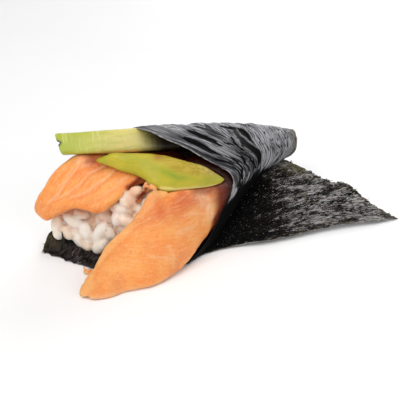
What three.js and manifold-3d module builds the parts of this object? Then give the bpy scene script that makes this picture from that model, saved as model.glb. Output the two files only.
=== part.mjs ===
// A salmon temaki hand roll lying on its side: one sheet of nori rolled into a cone round rice,
// two slices of salmon, a slice of avocado and a stick of cucumber.
// Millimetres, +Z up. The roll opens towards -X, its filling hangs out towards -X and -Y,
// and the free corner of the sheet points along +X.
import * as THREE from "three";
import { mergeVertices } from "three/addons/utils/BufferGeometryUtils.js";
import Module from "manifold-3d";

const wasm = await Module();
wasm.setup();

// ---------------------------------------------------------------- driving dimensions
const MOUTH_CENTRE = [-18, 5]; // where the roll's axis crosses its mouth, seen from above
const HEADING = 43; // degrees from +X to the axis, seen from above
const NORI = 0.36; // thickness of the sheet
const GAP = 0.32; // clearance between pieces that touch

// Each pair is [distance along the roll's axis from the mouth, value].
const HALF_WIDTH = [[-35, 20], [0, 20], [10, 18.8], [20, 16.6], [30, 14.2], [40, 11.8], [50, 9.2], [60, 6.8], [70, 5], [76, 4.4]];
const TOP = [[-35, 38], [-8, 39.8], [0, 39.9], [7, 38.9], [15, 37.7], [28, 35.4], [43.5, 31.8], [58, 27.6], [69, 23.6], [76, 20.5]];
const FOOT = [[-35, 0.18], [5, 0.18], [10, 0.22], [20, 1.2], [28, 3.4], [35, 6], [40, 8], [45, 9.6], [51, 10.8], [60, 11.4], [76, 11.6]];
const BACK_BULGE = [[-35, 0.4], [0, 0.6], [30, 0.3], [76, 0]]; // extra half-width at the back
const FOOT_RADIUS = [[-35, 3.5], [-15, 6], [10, 11], [30, 12], [60, 7], [76, 5]]; // of the rounded bottom at the back
// The sheet's last edge, at the front: how far out and how high.
const LAST_SIDE = [[-6, 22], [-1, 21.5], [9, 19.6], [15, 17.3], [19, 15.8], [25, 13.6], [30, 11.3], [38, 8], [46.8, 5.6], [60, 3.2], [73, 1.8]];
const LAST_HEIGHT = [[-6, 0.9], [9, 1.05], [15, 1.7], [19, 2.6], [22, 4.2], [25, 4.9], [30, 5.6], [38, 7.6], [46.8, 9.9], [60, 11.9], [73, 12.5]];

// The sheet's side edges. Each pair is [angle round the roll in degrees, distance along the axis].
// -90 is under the roll, -180 its back, -270 its top, -360 its front and -412 the last edge.
const MOUTH_EDGE = [
  [-412, -1.7], [-408.4, 4.7], [-402, 11.8], [-394, 17.4], [-387, 19.2], [-381, 22.5], [-375, 24.7], [-361, 26.3],
  [-348, 23.8], [-338.4, 19.8], [-329, 15.5], [-317.7, 11.3], [-308, 8.6], [-299.6, 6], [-288.7, 2.9], [-277, 1.9],
  [-258.4, 1.8], [-248, 3.6], [-238, 4.4], [-225, 3], [-205, -5], [-180, -14.5], [-165, -19.3], [-155, -22], [-147, -24.6],
  [-140, -27.3], [-131, -31.4], [-90, -25.2],
];
const END_EDGE = [[-412, 66.5], [-360, 68.5], [-300, 70.5], [-272, 71.5], [-230, 72], [-180, 71], [-90, 67]];

// The sheet's first edge lies free on the table from one corner to the other.
const NEAR_CORNER = [-24.9, -20.3];
const FREE_CORNER = [69.6, 22.2];
const EDGE_BOW = [[0, 0], [0.22, 0], [0.27, 3], [0.3, 4.2], [0.36, 4.9], [0.42, 4.2], [0.5, 2.2], [0.6, 1.9], [0.7, 2.1], [0.8, 1.5], [0.9, 0.2], [1, 0]];
const EDGE_LIFT = [[0, 0.18], [0.3, 0.22], [0.36, 0.8], [0.42, 1.5], [0.5, 1.9], [0.7, 2.3], [0.81, 2.3], [0.9, 1.3], [1, 0.2]];
const FLAP_SHARE = 0.3; // share of the sheet, round the roll, that lies free
const FLAP_COLUMNS = 11;
const COLUMN_ANGLES = [
  -104, -118, -131, -140, -147, -155, -166, -180, -194, -208, -222, -233, -243, -251, -258.4, -268, -277, -286, -295,
  -304, -313, -322, -331, -340, -348, -355, -361, -368, -375, -381, -387, -393, -398, -403, -408, -412,
];

const degrees = Math.PI / 180;
const axis = new THREE.Vector2(Math.cos(HEADING * degrees), Math.sin(HEADING * degrees));
const across = new THREE.Vector2(axis.y, -axis.x); // towards the front of the roll

const point = (x, y, z) => new THREE.Vector3(x, y, z);
const mix = THREE.MathUtils.lerp;
const clamp01 = (x) => Math.min(1, Math.max(0, x));
const bump = (x, middle, width) => Math.exp(-(((x - middle) / width) ** 2));

// A place given along the roll's axis from the mouth, across it towards the front, and up.
function inRoll(along, side, up) {
  return point(
    MOUTH_CENTRE[0] + along * axis.x + side * across.x,
    MOUTH_CENTRE[1] + along * axis.y + side * across.y,
    up,
  );
}

// A smooth curve through pairs of [place, value].
function through(pairs, x) {
  const last = pairs.length - 1;
  if (x <= pairs[0][0]) return pairs[0][1];
  if (x >= pairs[last][0]) return pairs[last][1];
  let i = 0;
  while (x > pairs[i + 1][0]) i++;
  const slope = (a, b) => (pairs[b][1] - pairs[a][1]) / (pairs[b][0] - pairs[a][0]);
  const before = slope(Math.max(0, i - 1), i + 1);
  const after = slope(i, Math.min(last, i + 2));
  const width = pairs[i + 1][0] - pairs[i][0];
  const t = (x - pairs[i][0]) / width;
  const s = 1 - t;
  return pairs[i][1] * (1 + 2 * t) * s * s + before * width * t * s * s
    + pairs[i + 1][1] * t * t * (3 - 2 * t) - after * width * t * t * s;
}

// ---------------------------------------------------------------- solids from surfaces
// Parameters from 0 to 1, closer together towards both ends when crowd is 1.
function steps(count, crowd = 0) {
  return Array.from({ length: count + 1 }, (_, i) => {
    const t = i / count;
    return mix(t, (1 - Math.cos(Math.PI * t)) / 2, crowd);
  });
}

function tangentsAt(surface, u, v) {
  const e = 1e-3;
  const du = surface(Math.min(1, u + e), v).sub(surface(Math.max(0, u - e), v));
  const dv = surface(u, Math.min(1, v + e)).sub(surface(u, Math.max(0, v - e)));
  return [du.normalize(), dv.normalize()];
}

function normalAt(surface, u, v) {
  const [du, dv] = tangentsAt(surface, u, v);
  return du.cross(dv).normalize();
}

// A closed solid between two offsets from a surface(u, v), with a wall round its rim.
// `spread` pushes the rim outwards. Nothing goes below the table.
function slab(surface, outer, inner, us, vs, spread = 0) {
  const nu = us.length;
  const nv = vs.length;
  const places = [];
  for (const offset of [outer, inner]) {
    us.forEach((u, i) => vs.forEach((v, j) => {
      const [du, dv] = tangentsAt(surface, u, v);
      const place = surface(u, v).addScaledVector(du.clone().cross(dv).normalize(), offset(u, v));
      place.addScaledVector(du, spread * ((i === nu - 1) - (i === 0)));
      place.addScaledVector(dv, spread * ((j === nv - 1) - (j === 0)));
      place.z = Math.max(place.z, -spread);
      places.push(place);
    }));
  }
  const at = (face, i, j) => face * nu * nv + i * nv + j;
  const triangles = [];
  const quad = (a, b, c, d) => triangles.push(a, b, c, a, c, d);
  for (let i = 0; i < nu - 1; i++) {
    for (let j = 0; j < nv - 1; j++) {
      quad(at(0, i, j), at(0, i + 1, j), at(0, i + 1, j + 1), at(0, i, j + 1));
      triangles.push(at(1, i, j), at(1, i + 1, j + 1), at(1, i + 1, j), at(1, i, j), at(1, i, j + 1), at(1, i + 1, j + 1));
    }
  }
  for (let i = 0; i < nu - 1; i++) {
    quad(at(0, i, 0), at(1, i, 0), at(1, i + 1, 0), at(0, i + 1, 0));
    quad(at(0, i, nv - 1), at(0, i + 1, nv - 1), at(1, i + 1, nv - 1), at(1, i, nv - 1));
  }
  for (let j = 0; j < nv - 1; j++) {
    quad(at(0, 0, j), at(0, 0, j + 1), at(1, 0, j + 1), at(1, 0, j));
    quad(at(0, nu - 1, j), at(1, nu - 1, j), at(1, nu - 1, j + 1), at(0, nu - 1, j + 1));
  }
  const geometry = new THREE.BufferGeometry().setFromPoints(places);
  geometry.setIndex(triangles);
  return geometry;
}

function solidOf(geometry) {
  const bare = geometry.clone();
  bare.deleteAttribute("normal");
  bare.deleteAttribute("uv");
  const merged = mergeVertices(bare, 1e-4);
  return new wasm.Manifold(
    new wasm.Mesh({
      numProp: 3,
      vertProperties: merged.attributes.position.array,
      triVerts: new Uint32Array(merged.index.array),
    }),
  );
}

function geometryOf(solid) {
  const mesh = solid.getMesh();
  const geometry = new THREE.BufferGeometry();
  geometry.setAttribute("position", new THREE.BufferAttribute(mesh.vertProperties, 3));
  geometry.setIndex(new THREE.BufferAttribute(mesh.triVerts, 1));
  geometry.computeVertexNormals();
  return geometry;
}

// The largest piece of a solid, so that scraps cut loose are dropped.
const largest = (solid) => solid.decompose().sort((a, b) => b.volume() - a.volume())[0];

// ---------------------------------------------------------------- nori sheet
function sectionPoint(along, angle) {
  const half = through(HALF_WIDTH, along);
  const top = through(TOP, along);
  const foot = through(FOOT, along);
  const middle = (top + foot) / 2;
  if (angle < -360) {
    const t = (-360 - angle) / 52;
    return inRoll(along, mix(half, through(LAST_SIDE, along), t * t), mix(middle, through(LAST_HEIGHT, along), t));
  }
  const c = Math.cos(angle * degrees);
  const s = Math.sin(angle * degrees);
  const wide = half + (c < 0 ? through(BACK_BULGE, along) : 0);
  if (s >= 0) {
    const power = 2 / 2.3;
    return inRoll(along, wide * Math.sign(c) * Math.abs(c) ** power, middle + ((top - foot) / 2) * s ** power);
  }
  // Flat under the roll, round its lower back corner and straight up its back.
  const radius = Math.min(through(FOOT_RADIUS, along), wide * 0.95, (middle - foot) * 0.95);
  const flat = wide - radius;
  const arc = (radius * Math.PI) / 2;
  const run = ((-90 - angle) / 90) * (flat + arc + middle - foot - radius);
  if (run < flat) return inRoll(along, -run, foot);
  if (run > flat + arc) return inRoll(along, -wide, foot + radius + run - flat - arc);
  const turn = (run - flat) / radius;
  return inRoll(along, -flat - radius * Math.sin(turn), foot + radius * (1 - Math.cos(turn)));
}

function flapPoint(u, w) {
  const near = point(mix(NEAR_CORNER[0], FREE_CORNER[0], u), mix(NEAR_CORNER[1], FREE_CORNER[1], u), 0);
  near.x -= 0.41 * through(EDGE_BOW, u);
  near.y += 0.91 * through(EDGE_BOW, u);
  const root = sectionPoint(mix(through(MOUTH_EDGE, -90), through(END_EDGE, -90), u), -90);
  const place = near.lerp(root, w);
  const lift = through(EDGE_LIFT, u);
  const ripple = 3 * bump(w, 0.42, 0.12) * u ** 6;
  place.z = lift * (1 - w) ** 2 + 0.18 * (1 - (1 - w) ** 2) + (root.z - 0.18) * w + ripple;
  return place;
}

function noriSurface(u, v) {
  if (v < FLAP_SHARE) return flapPoint(u, v / FLAP_SHARE);
  const angle = mix(-90, -412, (v - FLAP_SHARE) / (1 - FLAP_SHARE));
  return sectionPoint(mix(through(MOUTH_EDGE, angle), through(END_EDGE, angle), u), angle);
}

function noriGeometry(grow = 0) {
  const half = NORI / 2 + grow;
  const columns = [
    ...steps(FLAP_COLUMNS).map((w) => w * FLAP_SHARE),
    ...COLUMN_ANGLES.map((angle) => mix(FLAP_SHARE, 1, (-90 - angle) / 322)),
  ];
  return slab(noriSurface, () => half, () => -half, steps(18), columns, grow);
}

// ---------------------------------------------------------------- slices
// A surface stretched between two rails and bulging out between them.
function between(railA, railB, bulge) {
  const a = new THREE.CatmullRomCurve3(railA.map((p) => point(...p)), false, "centripetal");
  const b = new THREE.CatmullRomCurve3(railB.map((p) => point(...p)), false, "centripetal");
  const flat = (u, v) => a.getPointAt(u).lerp(b.getPointAt(u), v);
  return (u, v) => flat(u, v).addScaledVector(normalAt(flat, u, v), through(bulge, u) * 4 * v * (1 - v));
}

// Distance to the rim of a slice, 0 on it and 1 inside.
const inside = (u, v, endShare, sideShare) => {
  const e = clamp01(Math.min(u / endShare, (1 - u) / endShare, v / sideShare, (1 - v) / sideShare));
  return Math.sqrt(e * (2 - e));
};

const slices = {
  salmon_slice_front: {
    foot: [
      [-34.6, -33.2, 1.4], [-31.5, -33.7, 0.8], [-27, -32.5, 0.6], [-22.2, -28.8, 0.5], [-14.6, -26.4, 0.5], [-9, -21.2, 0.6],
      [-3.8, -13.6, 0.9], [-1, -6.4, 2.3], [2.8, 0.3, 4], [6.9, 7.7, 4.4], [11.8, 17, 6.5], [15.9, 24.3, 9],
    ],
    ridge: [
      [-36.9, -30.5, 2.2], [-34.9, -27.4, 3.6], [-33, -23.8, 5.5], [-29.5, -19.6, 9.5], [-24.6, -17.5, 15], [-18.3, -15.8, 23], [-15.2, -14, 27],
      [-9.5, -6.5, 29.5], [-6, 0.2, 31.2], [0, 7.6, 31.4], [6.4, 15.4, 29.5], [11.7, 24.5, 27],
    ],
    bulge: [[0, 0.8], [0.3, 1.8], [0.5, 3.2], [0.6, 3.8], [1, 3.5]],
    thickness: 5, endShare: 0.05, sideShare: 0.12, rounding: 1.1, colour: 0xf09a63, cells: [22, 10],
  },
  salmon_slice_left: {
    foot: [
      [-49.7, -5.4, 12.9], [-47.6, -6.2, 14.4], [-44.4, -6.9, 16.4], [-42.1, -6.9, 17.4], [-39.5, -7.1, 17.9],
      [-36.2, -7.8, 17.6], [-33.8, -8.2, 16.6], [-31.6, -8.7, 16.4], [-29.9, -8.5, 17.8], [-27.9, -8, 19.8],
      [-25.3, -6.8, 21.8], [-22.6, -5.2, 24.6], [-19.2, -3.9, 27.2], [-12, 1.5, 28.5], [-4, 9, 29],
    ],
    ridge: [
      [-52.7, -2.4, 13.6], [-53.8, -1.2, 15.3], [-52.4, -1.6, 20.2], [-50.2, -2.4, 23.3], [-47.9, -1.9, 27],
      [-44.8, -0.1, 30.1], [-42.2, 1.3, 31.7], [-39.8, 3.2, 32.3], [-33, 8.5, 31], [-24, 13.5, 30.5], [-12, 20, 30],
    ],
    bulge: [[0, 0.3], [0.25, 0.8], [0.5, 1.4], [1, 0.8]],
    thickness: 4.4, endShare: 0.06, sideShare: 0.14, rounding: 1, colour: 0xf4a36c, cells: [22, 10],
  },
  avocado_slice: {
    foot: [
      [-32.2, -1.4, 31.5], [-26.7, -3.1, 29.5], [-23.5, -4.3, 29], [-19.7, -5.1, 28.3], [-15.5, -9, 27], [-12.9, -9.8, 26],
      [-10.8, -10.2, 25.5], [-7.7, -8.8, 25], [-3.1, -5.5, 24], [1.7, -0.7, 22.5], [4.9, 3.3, 21.3], [8.3, 7.9, 20.6],
    ],
    ridge: [
      [-32.7, -1.7, 33], [-28.1, -2.4, 35], [-21.8, -2.8, 35.5], [-15.6, -1.7, 35.5], [-9.3, -2.2, 34.8], [-3, -0.5, 32],
      [1.7, 2.1, 29.5], [5.9, 6.7, 25], [9.4, 9.6, 21],
    ],
    bulge: [[0, 0], [0.3, 0.4], [0.7, 0.4], [1, 0]],
    thickness: 4.2, endShare: 0.16, sideShare: 0.3, rounding: 1.1, colour: 0xc6c94e, cells: [20, 10],
  },
};

// Grown all round for clearance, and further out over its outer face by `cover`.
function sliceGeometry(slice, grow = 0, cover = 0, cells = slice.cells) {
  const surface = between(slice.foot, slice.ridge, slice.bulge);
  const full = (u, v) => inside(u, v, slice.endShare, slice.sideShare);
  const outer = (u, v) => slice.rounding * (full(u, v) - 1) + grow + cover;
  const inner = (u, v) => -slice.thickness + slice.rounding * (1 - full(u, v)) - grow;
  return slab(surface, outer, inner, steps(cells[0], 0.6), steps(cells[1], 0.7), grow);
}

// ---------------------------------------------------------------- cucumber stick
const STICK = {
  left: [-44.4, 3, 36], right: [-7.6, 17, 32.8], // centres of its ends
  leftSize: [6.4, 6.8], rightSize: [8.2, 8.4], // across the seen face, and along it upwards
  lean: 25, // degrees that the seen face leans back
};

function stickGeometry(grow = 0) {
  const from = point(...STICK.left);
  const to = point(...STICK.right);
  const run = to.clone().sub(from).normalize();
  const back = point(0, 0, 1).cross(run).normalize();
  const up = run.clone().cross(back).normalize();
  const lean = STICK.lean * degrees;
  const wide = back.clone().multiplyScalar(Math.cos(lean)).addScaledVector(up, -Math.sin(lean));
  const tall = up.clone().multiplyScalar(Math.cos(lean)).addScaledVector(back, Math.sin(lean));
  const sides = 20;
  const rings = 8;
  const places = [];
  const triangles = [];
  for (let i = 0; i <= rings; i++) {
    const t = i / rings;
    const halfWide = mix(STICK.leftSize[0], STICK.rightSize[0], t) / 2 + grow;
    const halfTall = mix(STICK.leftSize[1], STICK.rightSize[1], t) / 2 + grow;
    for (let k = 0; k < sides; k++) {
      const angle = ((k + 0.5) / sides) * 2 * Math.PI;
      const c = Math.cos(angle);
      const s = Math.sin(angle);
      const w = halfWide * Math.sign(c) * Math.abs(c) ** 0.3;
      const h = halfTall * Math.sign(s) * Math.abs(s) ** 0.3;
      const along = mix(-grow, from.distanceTo(to) + grow, t) - (1 - t) ** 3 * 0.28 * h;
      places.push(from.clone().addScaledVector(run, along).addScaledVector(wide, w).addScaledVector(tall, h));
    }
    if (!i) continue;
    for (let k = 0; k < sides; k++) {
      const a = (i - 1) * sides + k;
      const b = (i - 1) * sides + ((k + 1) % sides);
      triangles.push(a, b, b + sides, a, b + sides, a + sides);
    }
  }
  const last = rings * sides;
  for (let k = 1; k < sides - 1; k++) triangles.push(0, k + 1, k, last, last + k, last + k + 1);
  const geometry = new THREE.BufferGeometry().setFromPoints(places);
  geometry.setIndex(triangles);
  return geometry;
}

// ---------------------------------------------------------------- rice
const RICE = { from: -16.8, to: 62, lean: 0.33, backSkew: 0.6, frontSkew: 0.15, headroom: 30 };
const GRAIN = { length: 7, width: 3.1, pitch: 3.9, proud: 0.35, seed: 7 };

const riceFoot = (along) => through(FOOT, along) + NORI / 2 + GAP + 0.1;
// The front of the rice leans back as it rises and stands further out at the back of the roll.
const riceShear = (side, up, t) => (
  (RICE.lean * up + (side < 0 ? RICE.backSkew : RICE.frontSkew) * side) * (1 - t) ** 3
);

// One ring round the rice, t of the way along it and shrunk to a share of its full size.
function riceRing(t, share, sides) {
  const ahead = mix(RICE.from, RICE.to, t);
  const swell = share * (0.92 + 0.08 * clamp01(Math.min(t, 1 - t) * 12));
  const foot = riceFoot(ahead);
  const open = mix(RICE.headroom, 60, clamp01((ahead - 21) / 8));
  const top = Math.min(open, through(TOP, ahead) - NORI / 2 - GAP - 0.2);
  const half = (through(HALF_WIDTH, ahead) - NORI / 2 - GAP - 0.2) * swell;
  return Array.from({ length: sides }, (_, k) => {
    const c = Math.cos((k / sides) * 2 * Math.PI);
    const s = Math.sin((k / sides) * 2 * Math.PI);
    const power = 2 / (s < 0 ? (c < 0 ? 6 : 2.4) : 2);
    const side = half * Math.sign(c) * Math.abs(c) ** power;
    const up = (top + foot) / 2 + ((top - foot) / 2) * swell * Math.sign(s) * Math.abs(s) ** power;
    return inRoll(ahead + riceShear(side, up, t), side, up);
  });
}

function riceCore() {
  const sides = 24;
  const rings = [[0, 0.04], [0, 0.4], [0, 0.7], [0, 1]];
  for (let i = 1; i <= 10; i++) rings.push([i / 10, 1]);
  const places = rings.flatMap(([t, share]) => riceRing(t, share, sides));
  const triangles = [];
  for (let i = 1; i < rings.length; i++) {
    for (let k = 0; k < sides; k++) {
      const a = (i - 1) * sides + k;
      const b = (i - 1) * sides + ((k + 1) % sides);
      triangles.push(a, b + sides, b, a, a + sides, b + sides);
    }
  }
  const last = (rings.length - 1) * sides;
  for (let k = 1; k < sides - 1; k++) triangles.push(0, k, k + 1, last, last + k + 1, last + k);
  const geometry = new THREE.BufferGeometry().setFromPoints(places);
  geometry.setIndex(triangles);
  return geometry;
}

// Repeatable numbers from 0 to 1.
function seeded(seed) {
  let state = seed;
  return () => {
    state = (Math.imul(state, 1664525) + 1013904223) >>> 0;
    return state / 4294967296;
  };
}

function grainGeometry(centre, along, size, grow = 0) {
  const geometry = new THREE.SphereGeometry(1, 5, 4);
  geometry.scale((GRAIN.width / 2) * size + grow, (GRAIN.length / 2) * size + grow, (GRAIN.width / 2) * size * 0.9 + grow);
  const turn = new THREE.Quaternion().setFromUnitVectors(point(0, 1, 0), along);
  geometry.applyQuaternion(turn);
  geometry.translate(centre.x, centre.y, centre.z);
  return geometry;
}

// Grains on the front of the rice, and round its back where the sheet leaves it bare.
function grains(core, neighbours) {
  const random = seeded(GRAIN.seed);
  const kept = [];
  const tryGrain = (centre, facing) => {
    const loose = point(random() - 0.5, random() - 0.5, random() - 0.5);
    const along = loose.addScaledVector(facing, -0.75 * loose.dot(facing)).normalize();
    const root = solidOf(grainGeometry(centre.clone().addScaledVector(facing, -1.2), facing, 0.25));
    if (core.intersect(root).volume() < 0.9 * root.volume()) return;
    for (const [size, sink] of [[0.9 + 0.2 * random(), 0], [0.8, 0.5], [0.7, 0.8]]) {
      const place = centre.clone().addScaledVector(facing, -sink);
      const guard = solidOf(grainGeometry(place, along, size, GAP));
      if (neighbours.every((other) => guard.intersect(other).volume() < 1e-4)) {
        kept.push(solidOf(grainGeometry(place, along, size)));
        return;
      }
    }
  };
  const front = point(-axis.x, -axis.y, 0);
  const back = point(-across.x, -across.y, 0);
  for (let up = 2.2; up < 28; up += GRAIN.pitch * 0.85) {
    for (let side = -18.4; side < 14; side += GRAIN.pitch) {
      const s = side + (random() - 0.5) * 1.6;
      const z = up + (random() - 0.5) * 1.2;
      tryGrain(inRoll(RICE.from + riceShear(s, z, 0) - GRAIN.proud, s, Math.max(1.9, z)), front);
    }
    for (let along = -21; along < -4; along += GRAIN.pitch * 1.1) {
      const ahead = along + (random() - 0.5) * 1.6;
      const z = Math.max(1.9, up + (random() - 0.5) * 1.2);
      tryGrain(inRoll(ahead, -18.8 * Math.sqrt(1 - clamp01((z - 15) / 16) ** 2), z), back);
    }
  }
  return kept;
}

// ---------------------------------------------------------------- assembly
const roll = new THREE.Group();

function addPiece(name, solid, colour, roughness) {
  const material = new THREE.MeshStandardMaterial({ color: colour, roughness, metalness: 0 });
  const mesh = new THREE.Mesh(geometryOf(solid), material);
  mesh.name = name;
  roll.add(mesh);
}

const nori = solidOf(noriGeometry());
const noriRoom = solidOf(noriGeometry(GAP));
const avocado = largest(solidOf(sliceGeometry(slices.avocado_slice)).subtract(noriRoom));
const avocadoRoom = solidOf(sliceGeometry(slices.avocado_slice, GAP));
const stick = largest(solidOf(stickGeometry()).subtract(noriRoom).subtract(avocadoRoom));
const stickRoom = solidOf(stickGeometry(GAP));
const toppingsRoom = noriRoom.add(avocadoRoom).add(stickRoom);
const front = largest(solidOf(sliceGeometry(slices.salmon_slice_front)).subtract(toppingsRoom));
const frontRoom = solidOf(sliceGeometry(slices.salmon_slice_front, GAP + 0.25, 9, [16, 7]));
const left = largest(
  solidOf(sliceGeometry(slices.salmon_slice_left)).subtract(toppingsRoom)
    .subtract(solidOf(sliceGeometry(slices.salmon_slice_front, GAP))),
);
const leftRoom = solidOf(sliceGeometry(slices.salmon_slice_left, GAP + 0.25, 9, [16, 7]));
const core = largest(solidOf(riceCore()).subtract(toppingsRoom).subtract(frontRoom).subtract(leftRoom));
const showing = grains(core, [nori, avocado, stick, front, left]);
const rice = largest(core.add(wasm.Manifold.union(showing)));

addPiece("nori_sheet", nori, 0x15170f, 0.6);
addPiece("rice_filling", rice, 0xe9e2d6, 0.45);
addPiece("salmon_slice_left", left, 0xf4a36c, 0.4);
addPiece("salmon_slice_front", front, 0xf09a63, 0.4);
addPiece("avocado_slice", avocado, 0xc6c94e, 0.4);
addPiece("cucumber_stick", stick, 0xb7c65a, 0.35);

// The origin is under the middle of the whole, at the height of the table.
const box = new THREE.Box3().setFromObject(roll);
const middle = box.getCenter(point(0, 0, 0));
for (const piece of roll.children) piece.geometry.translate(-middle.x, -middle.y, -box.min.z);

export default roll;
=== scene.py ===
"""A salmon temaki hand roll: nori rolled round rice, with salmon, avocado and cucumber at its open end."""

import math
import random

import bpy
from mathutils import Matrix, Vector, noise
from mathutils.bvhtree import BVHTree
from mathutils.kdtree import KDTree


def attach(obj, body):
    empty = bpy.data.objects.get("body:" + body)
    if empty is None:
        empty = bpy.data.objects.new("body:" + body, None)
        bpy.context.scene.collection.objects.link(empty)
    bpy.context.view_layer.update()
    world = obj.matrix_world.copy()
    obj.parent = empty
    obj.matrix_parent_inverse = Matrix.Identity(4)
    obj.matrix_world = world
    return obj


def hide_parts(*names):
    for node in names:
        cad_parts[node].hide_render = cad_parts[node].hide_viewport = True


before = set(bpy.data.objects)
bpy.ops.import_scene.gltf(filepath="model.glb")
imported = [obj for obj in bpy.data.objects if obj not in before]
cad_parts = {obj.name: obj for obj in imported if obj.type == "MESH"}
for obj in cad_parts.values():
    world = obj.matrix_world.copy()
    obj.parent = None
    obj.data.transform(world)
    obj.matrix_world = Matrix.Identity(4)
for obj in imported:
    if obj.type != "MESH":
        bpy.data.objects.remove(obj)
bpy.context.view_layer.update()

noise.seed_set(7)  # noise_vector, by which drawn lines sway, is random without it

MM = 0.001
TABLE_CENTRE = Vector((8.1326, 12.0475, 0))  # middle of the table space, in the roll's own measures (mm)
SEEN_UP = Vector((0, 0.4226, 0.9063))  # the way that is up on the flat drawing of the front


# ---------------------------------------------------------------- workbench
def take(piece):
    """Selects one piece alone, out of edit mode."""
    bpy.ops.object.select_all(action="DESELECT")
    piece.select_set(True)
    bpy.context.view_layer.objects.active = piece


def edit(piece):
    """Opens a piece in edit mode, with all of it selected."""
    take(piece)
    bpy.ops.object.mode_set(mode="EDIT")
    bpy.ops.mesh.select_all(action="SELECT")


def close_edit():
    bpy.ops.object.mode_set(mode="OBJECT")


def finish_with(piece, kind, **settings):
    """Adds one modifier and applies it."""
    take(piece)
    modifier = piece.modifiers.new(kind.lower(), kind)
    for name, value in settings.items():
        setattr(modifier, name, value)
    bpy.ops.object.modifier_apply(modifier=modifier.name)


def one_skin(piece, cell, rounds):
    """Gives a piece one skin of even cells, their size in mm, and smooths it."""
    finish_with(piece, "REMESH", mode="VOXEL", voxel_size=cell * MM)
    finish_with(piece, "SMOOTH", factor=0.5, iterations=rounds)


def smooth(piece):
    take(piece)
    bpy.ops.object.shade_smooth()


def added(name):
    """Names what a primitive operator has just added."""
    piece = bpy.context.active_object
    piece.name = name
    piece.data.name = name
    return piece


def put_out(name, data):
    """A new object in the scene, from its data."""
    item = bpy.data.objects.new(name, data)
    bpy.context.scene.collection.objects.link(item)
    return item


def traced(node, name):
    """A merged copy of a solid, as the start of a finer piece."""
    piece = put_out(name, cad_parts[node].data.copy())
    piece.data.name = name
    piece.data.materials.clear()
    edit(piece)
    bpy.ops.mesh.remove_doubles(threshold=0.01 * MM)
    close_edit()
    return piece


def join_parts(parts, name):
    take(parts[0])
    for part in parts:
        part.select_set(True)
    bpy.ops.object.join()
    return added(name)


def shift_points(piece, move):
    """Moves each point of a piece along its normal, by move of its place, in mm."""
    mesh = piece.data
    normals = [vertex.normal.copy() for vertex in mesh.vertices]
    for vertex, normal in zip(mesh.vertices, normals):
        vertex.co += normal * (move(vertex.co / MM) * MM)
    mesh.update()


def keep_above(piece, height):
    """Raises what lies lower than a height in mm."""
    for vertex in piece.data.vertices:
        vertex.co.z = max(vertex.co.z, height * MM)


def put_in_place(piece, slot, *nodes):
    if nodes:
        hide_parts(*nodes)
    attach(piece, "root")


def paint(piece, **shades):
    """Gives each point of a piece a value for each named shade, worked out from its place in mm."""
    places = [vertex.co / MM for vertex in piece.data.vertices]
    for name, shade in shades.items():
        values = [shade(place) for place in places]
        if isinstance(values[0], Vector):
            layer = piece.data.attributes.new(name, "FLOAT_VECTOR", "POINT")
            layer.data.foreach_set("vector", [number for value in values for number in value])
        else:
            layer = piece.data.attributes.new(name, "FLOAT", "POINT")
            layer.data.foreach_set("value", [clamp01(value) for value in values])


# ---------------------------------------------------------------- curves and places, in mm
def mix(a, b, t):
    return a + (b - a) * t


def clamp01(x):
    return min(1.0, max(0.0, x))


def bump(x, middle, width):
    """1 in the middle, falling off to 0 on both sides."""
    return math.exp(-(((x - middle) / width) ** 2))


def step(x, low, high):
    """A smooth step from 0 at low to 1 at high."""
    t = clamp01((x - low) / (high - low))
    return t * t * (3 - 2 * t)


def through(pairs, x):
    """A smooth curve through pairs of (place, value)."""
    last = len(pairs) - 1
    if x <= pairs[0][0]:
        return pairs[0][1]
    if x >= pairs[last][0]:
        return pairs[last][1]
    i = 0
    while x > pairs[i + 1][0]:
        i += 1

    def slope(a, b):
        return (pairs[b][1] - pairs[a][1]) / (pairs[b][0] - pairs[a][0])

    before = slope(max(0, i - 1), i + 1)
    after = slope(i, min(last, i + 2))
    width = pairs[i + 1][0] - pairs[i][0]
    t = (x - pairs[i][0]) / width
    s = 1 - t
    return (
        pairs[i][1] * (1 + 2 * t) * s * s + before * width * t * s * s
        + pairs[i + 1][1] * t * t * (3 - 2 * t) - after * width * t * t * s
    )


def uneven(x, y, z):
    """Smooth unevenness, from about -1 to 1."""
    return noise.noise(Vector((x, y, z)))


def lumps(place, scale, depth, seed=0.0):
    return depth * noise.noise(Vector((place.x, place.y, place.z + seed)) * scale)


def swayed(place, scale, reach, seed):
    """A place moved a little to and fro, so that lines drawn by it aren't straight."""
    return place + noise.noise_vector(place * scale + Vector((seed, 0, 0))) * reach


def points(*places):
    return [Vector(place) for place in places]


def marks(*places):
    """Places on the flat drawing of the front: to the right and up."""
    return [Vector((right, up, 0)) for right, up in places]


def drawn(place):
    """Where a place is on the flat drawing of the front."""
    return Vector((place.x, place.dot(SEEN_UP), 0))


def near_line(place, line):
    """The distance to a line of points, the nearest spot on it, and the share of the way along it."""
    last = len(line) - 1
    best = None
    for i in range(last):
        start = line[i]
        run = line[i + 1] - start
        t = clamp01((place - start).dot(run) / run.length_squared)
        spot = start + run * t
        distance = (place - spot).length
        if best is None or distance < best[0]:
            best = (distance, spot, (i + t) / last)
    return best


def beside_line(place, line, facing):
    """The distance from a line drawn on a face, seen straight on."""
    _, spot, _ = near_line(place, line)
    off = place - spot
    return (off - facing * off.dot(facing)).length


def by_drawing(place, line, width):
    """1 on a line of the flat drawing, falling off to 0 beside it."""
    return bump(near_line(drawn(place), line)[0], 0, width)


def by_spot(place, spot, width, ring=0):
    """1 at a spot, or on a ring round it, falling off to 0."""
    return bump((place - spot).length, ring, width)


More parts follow.
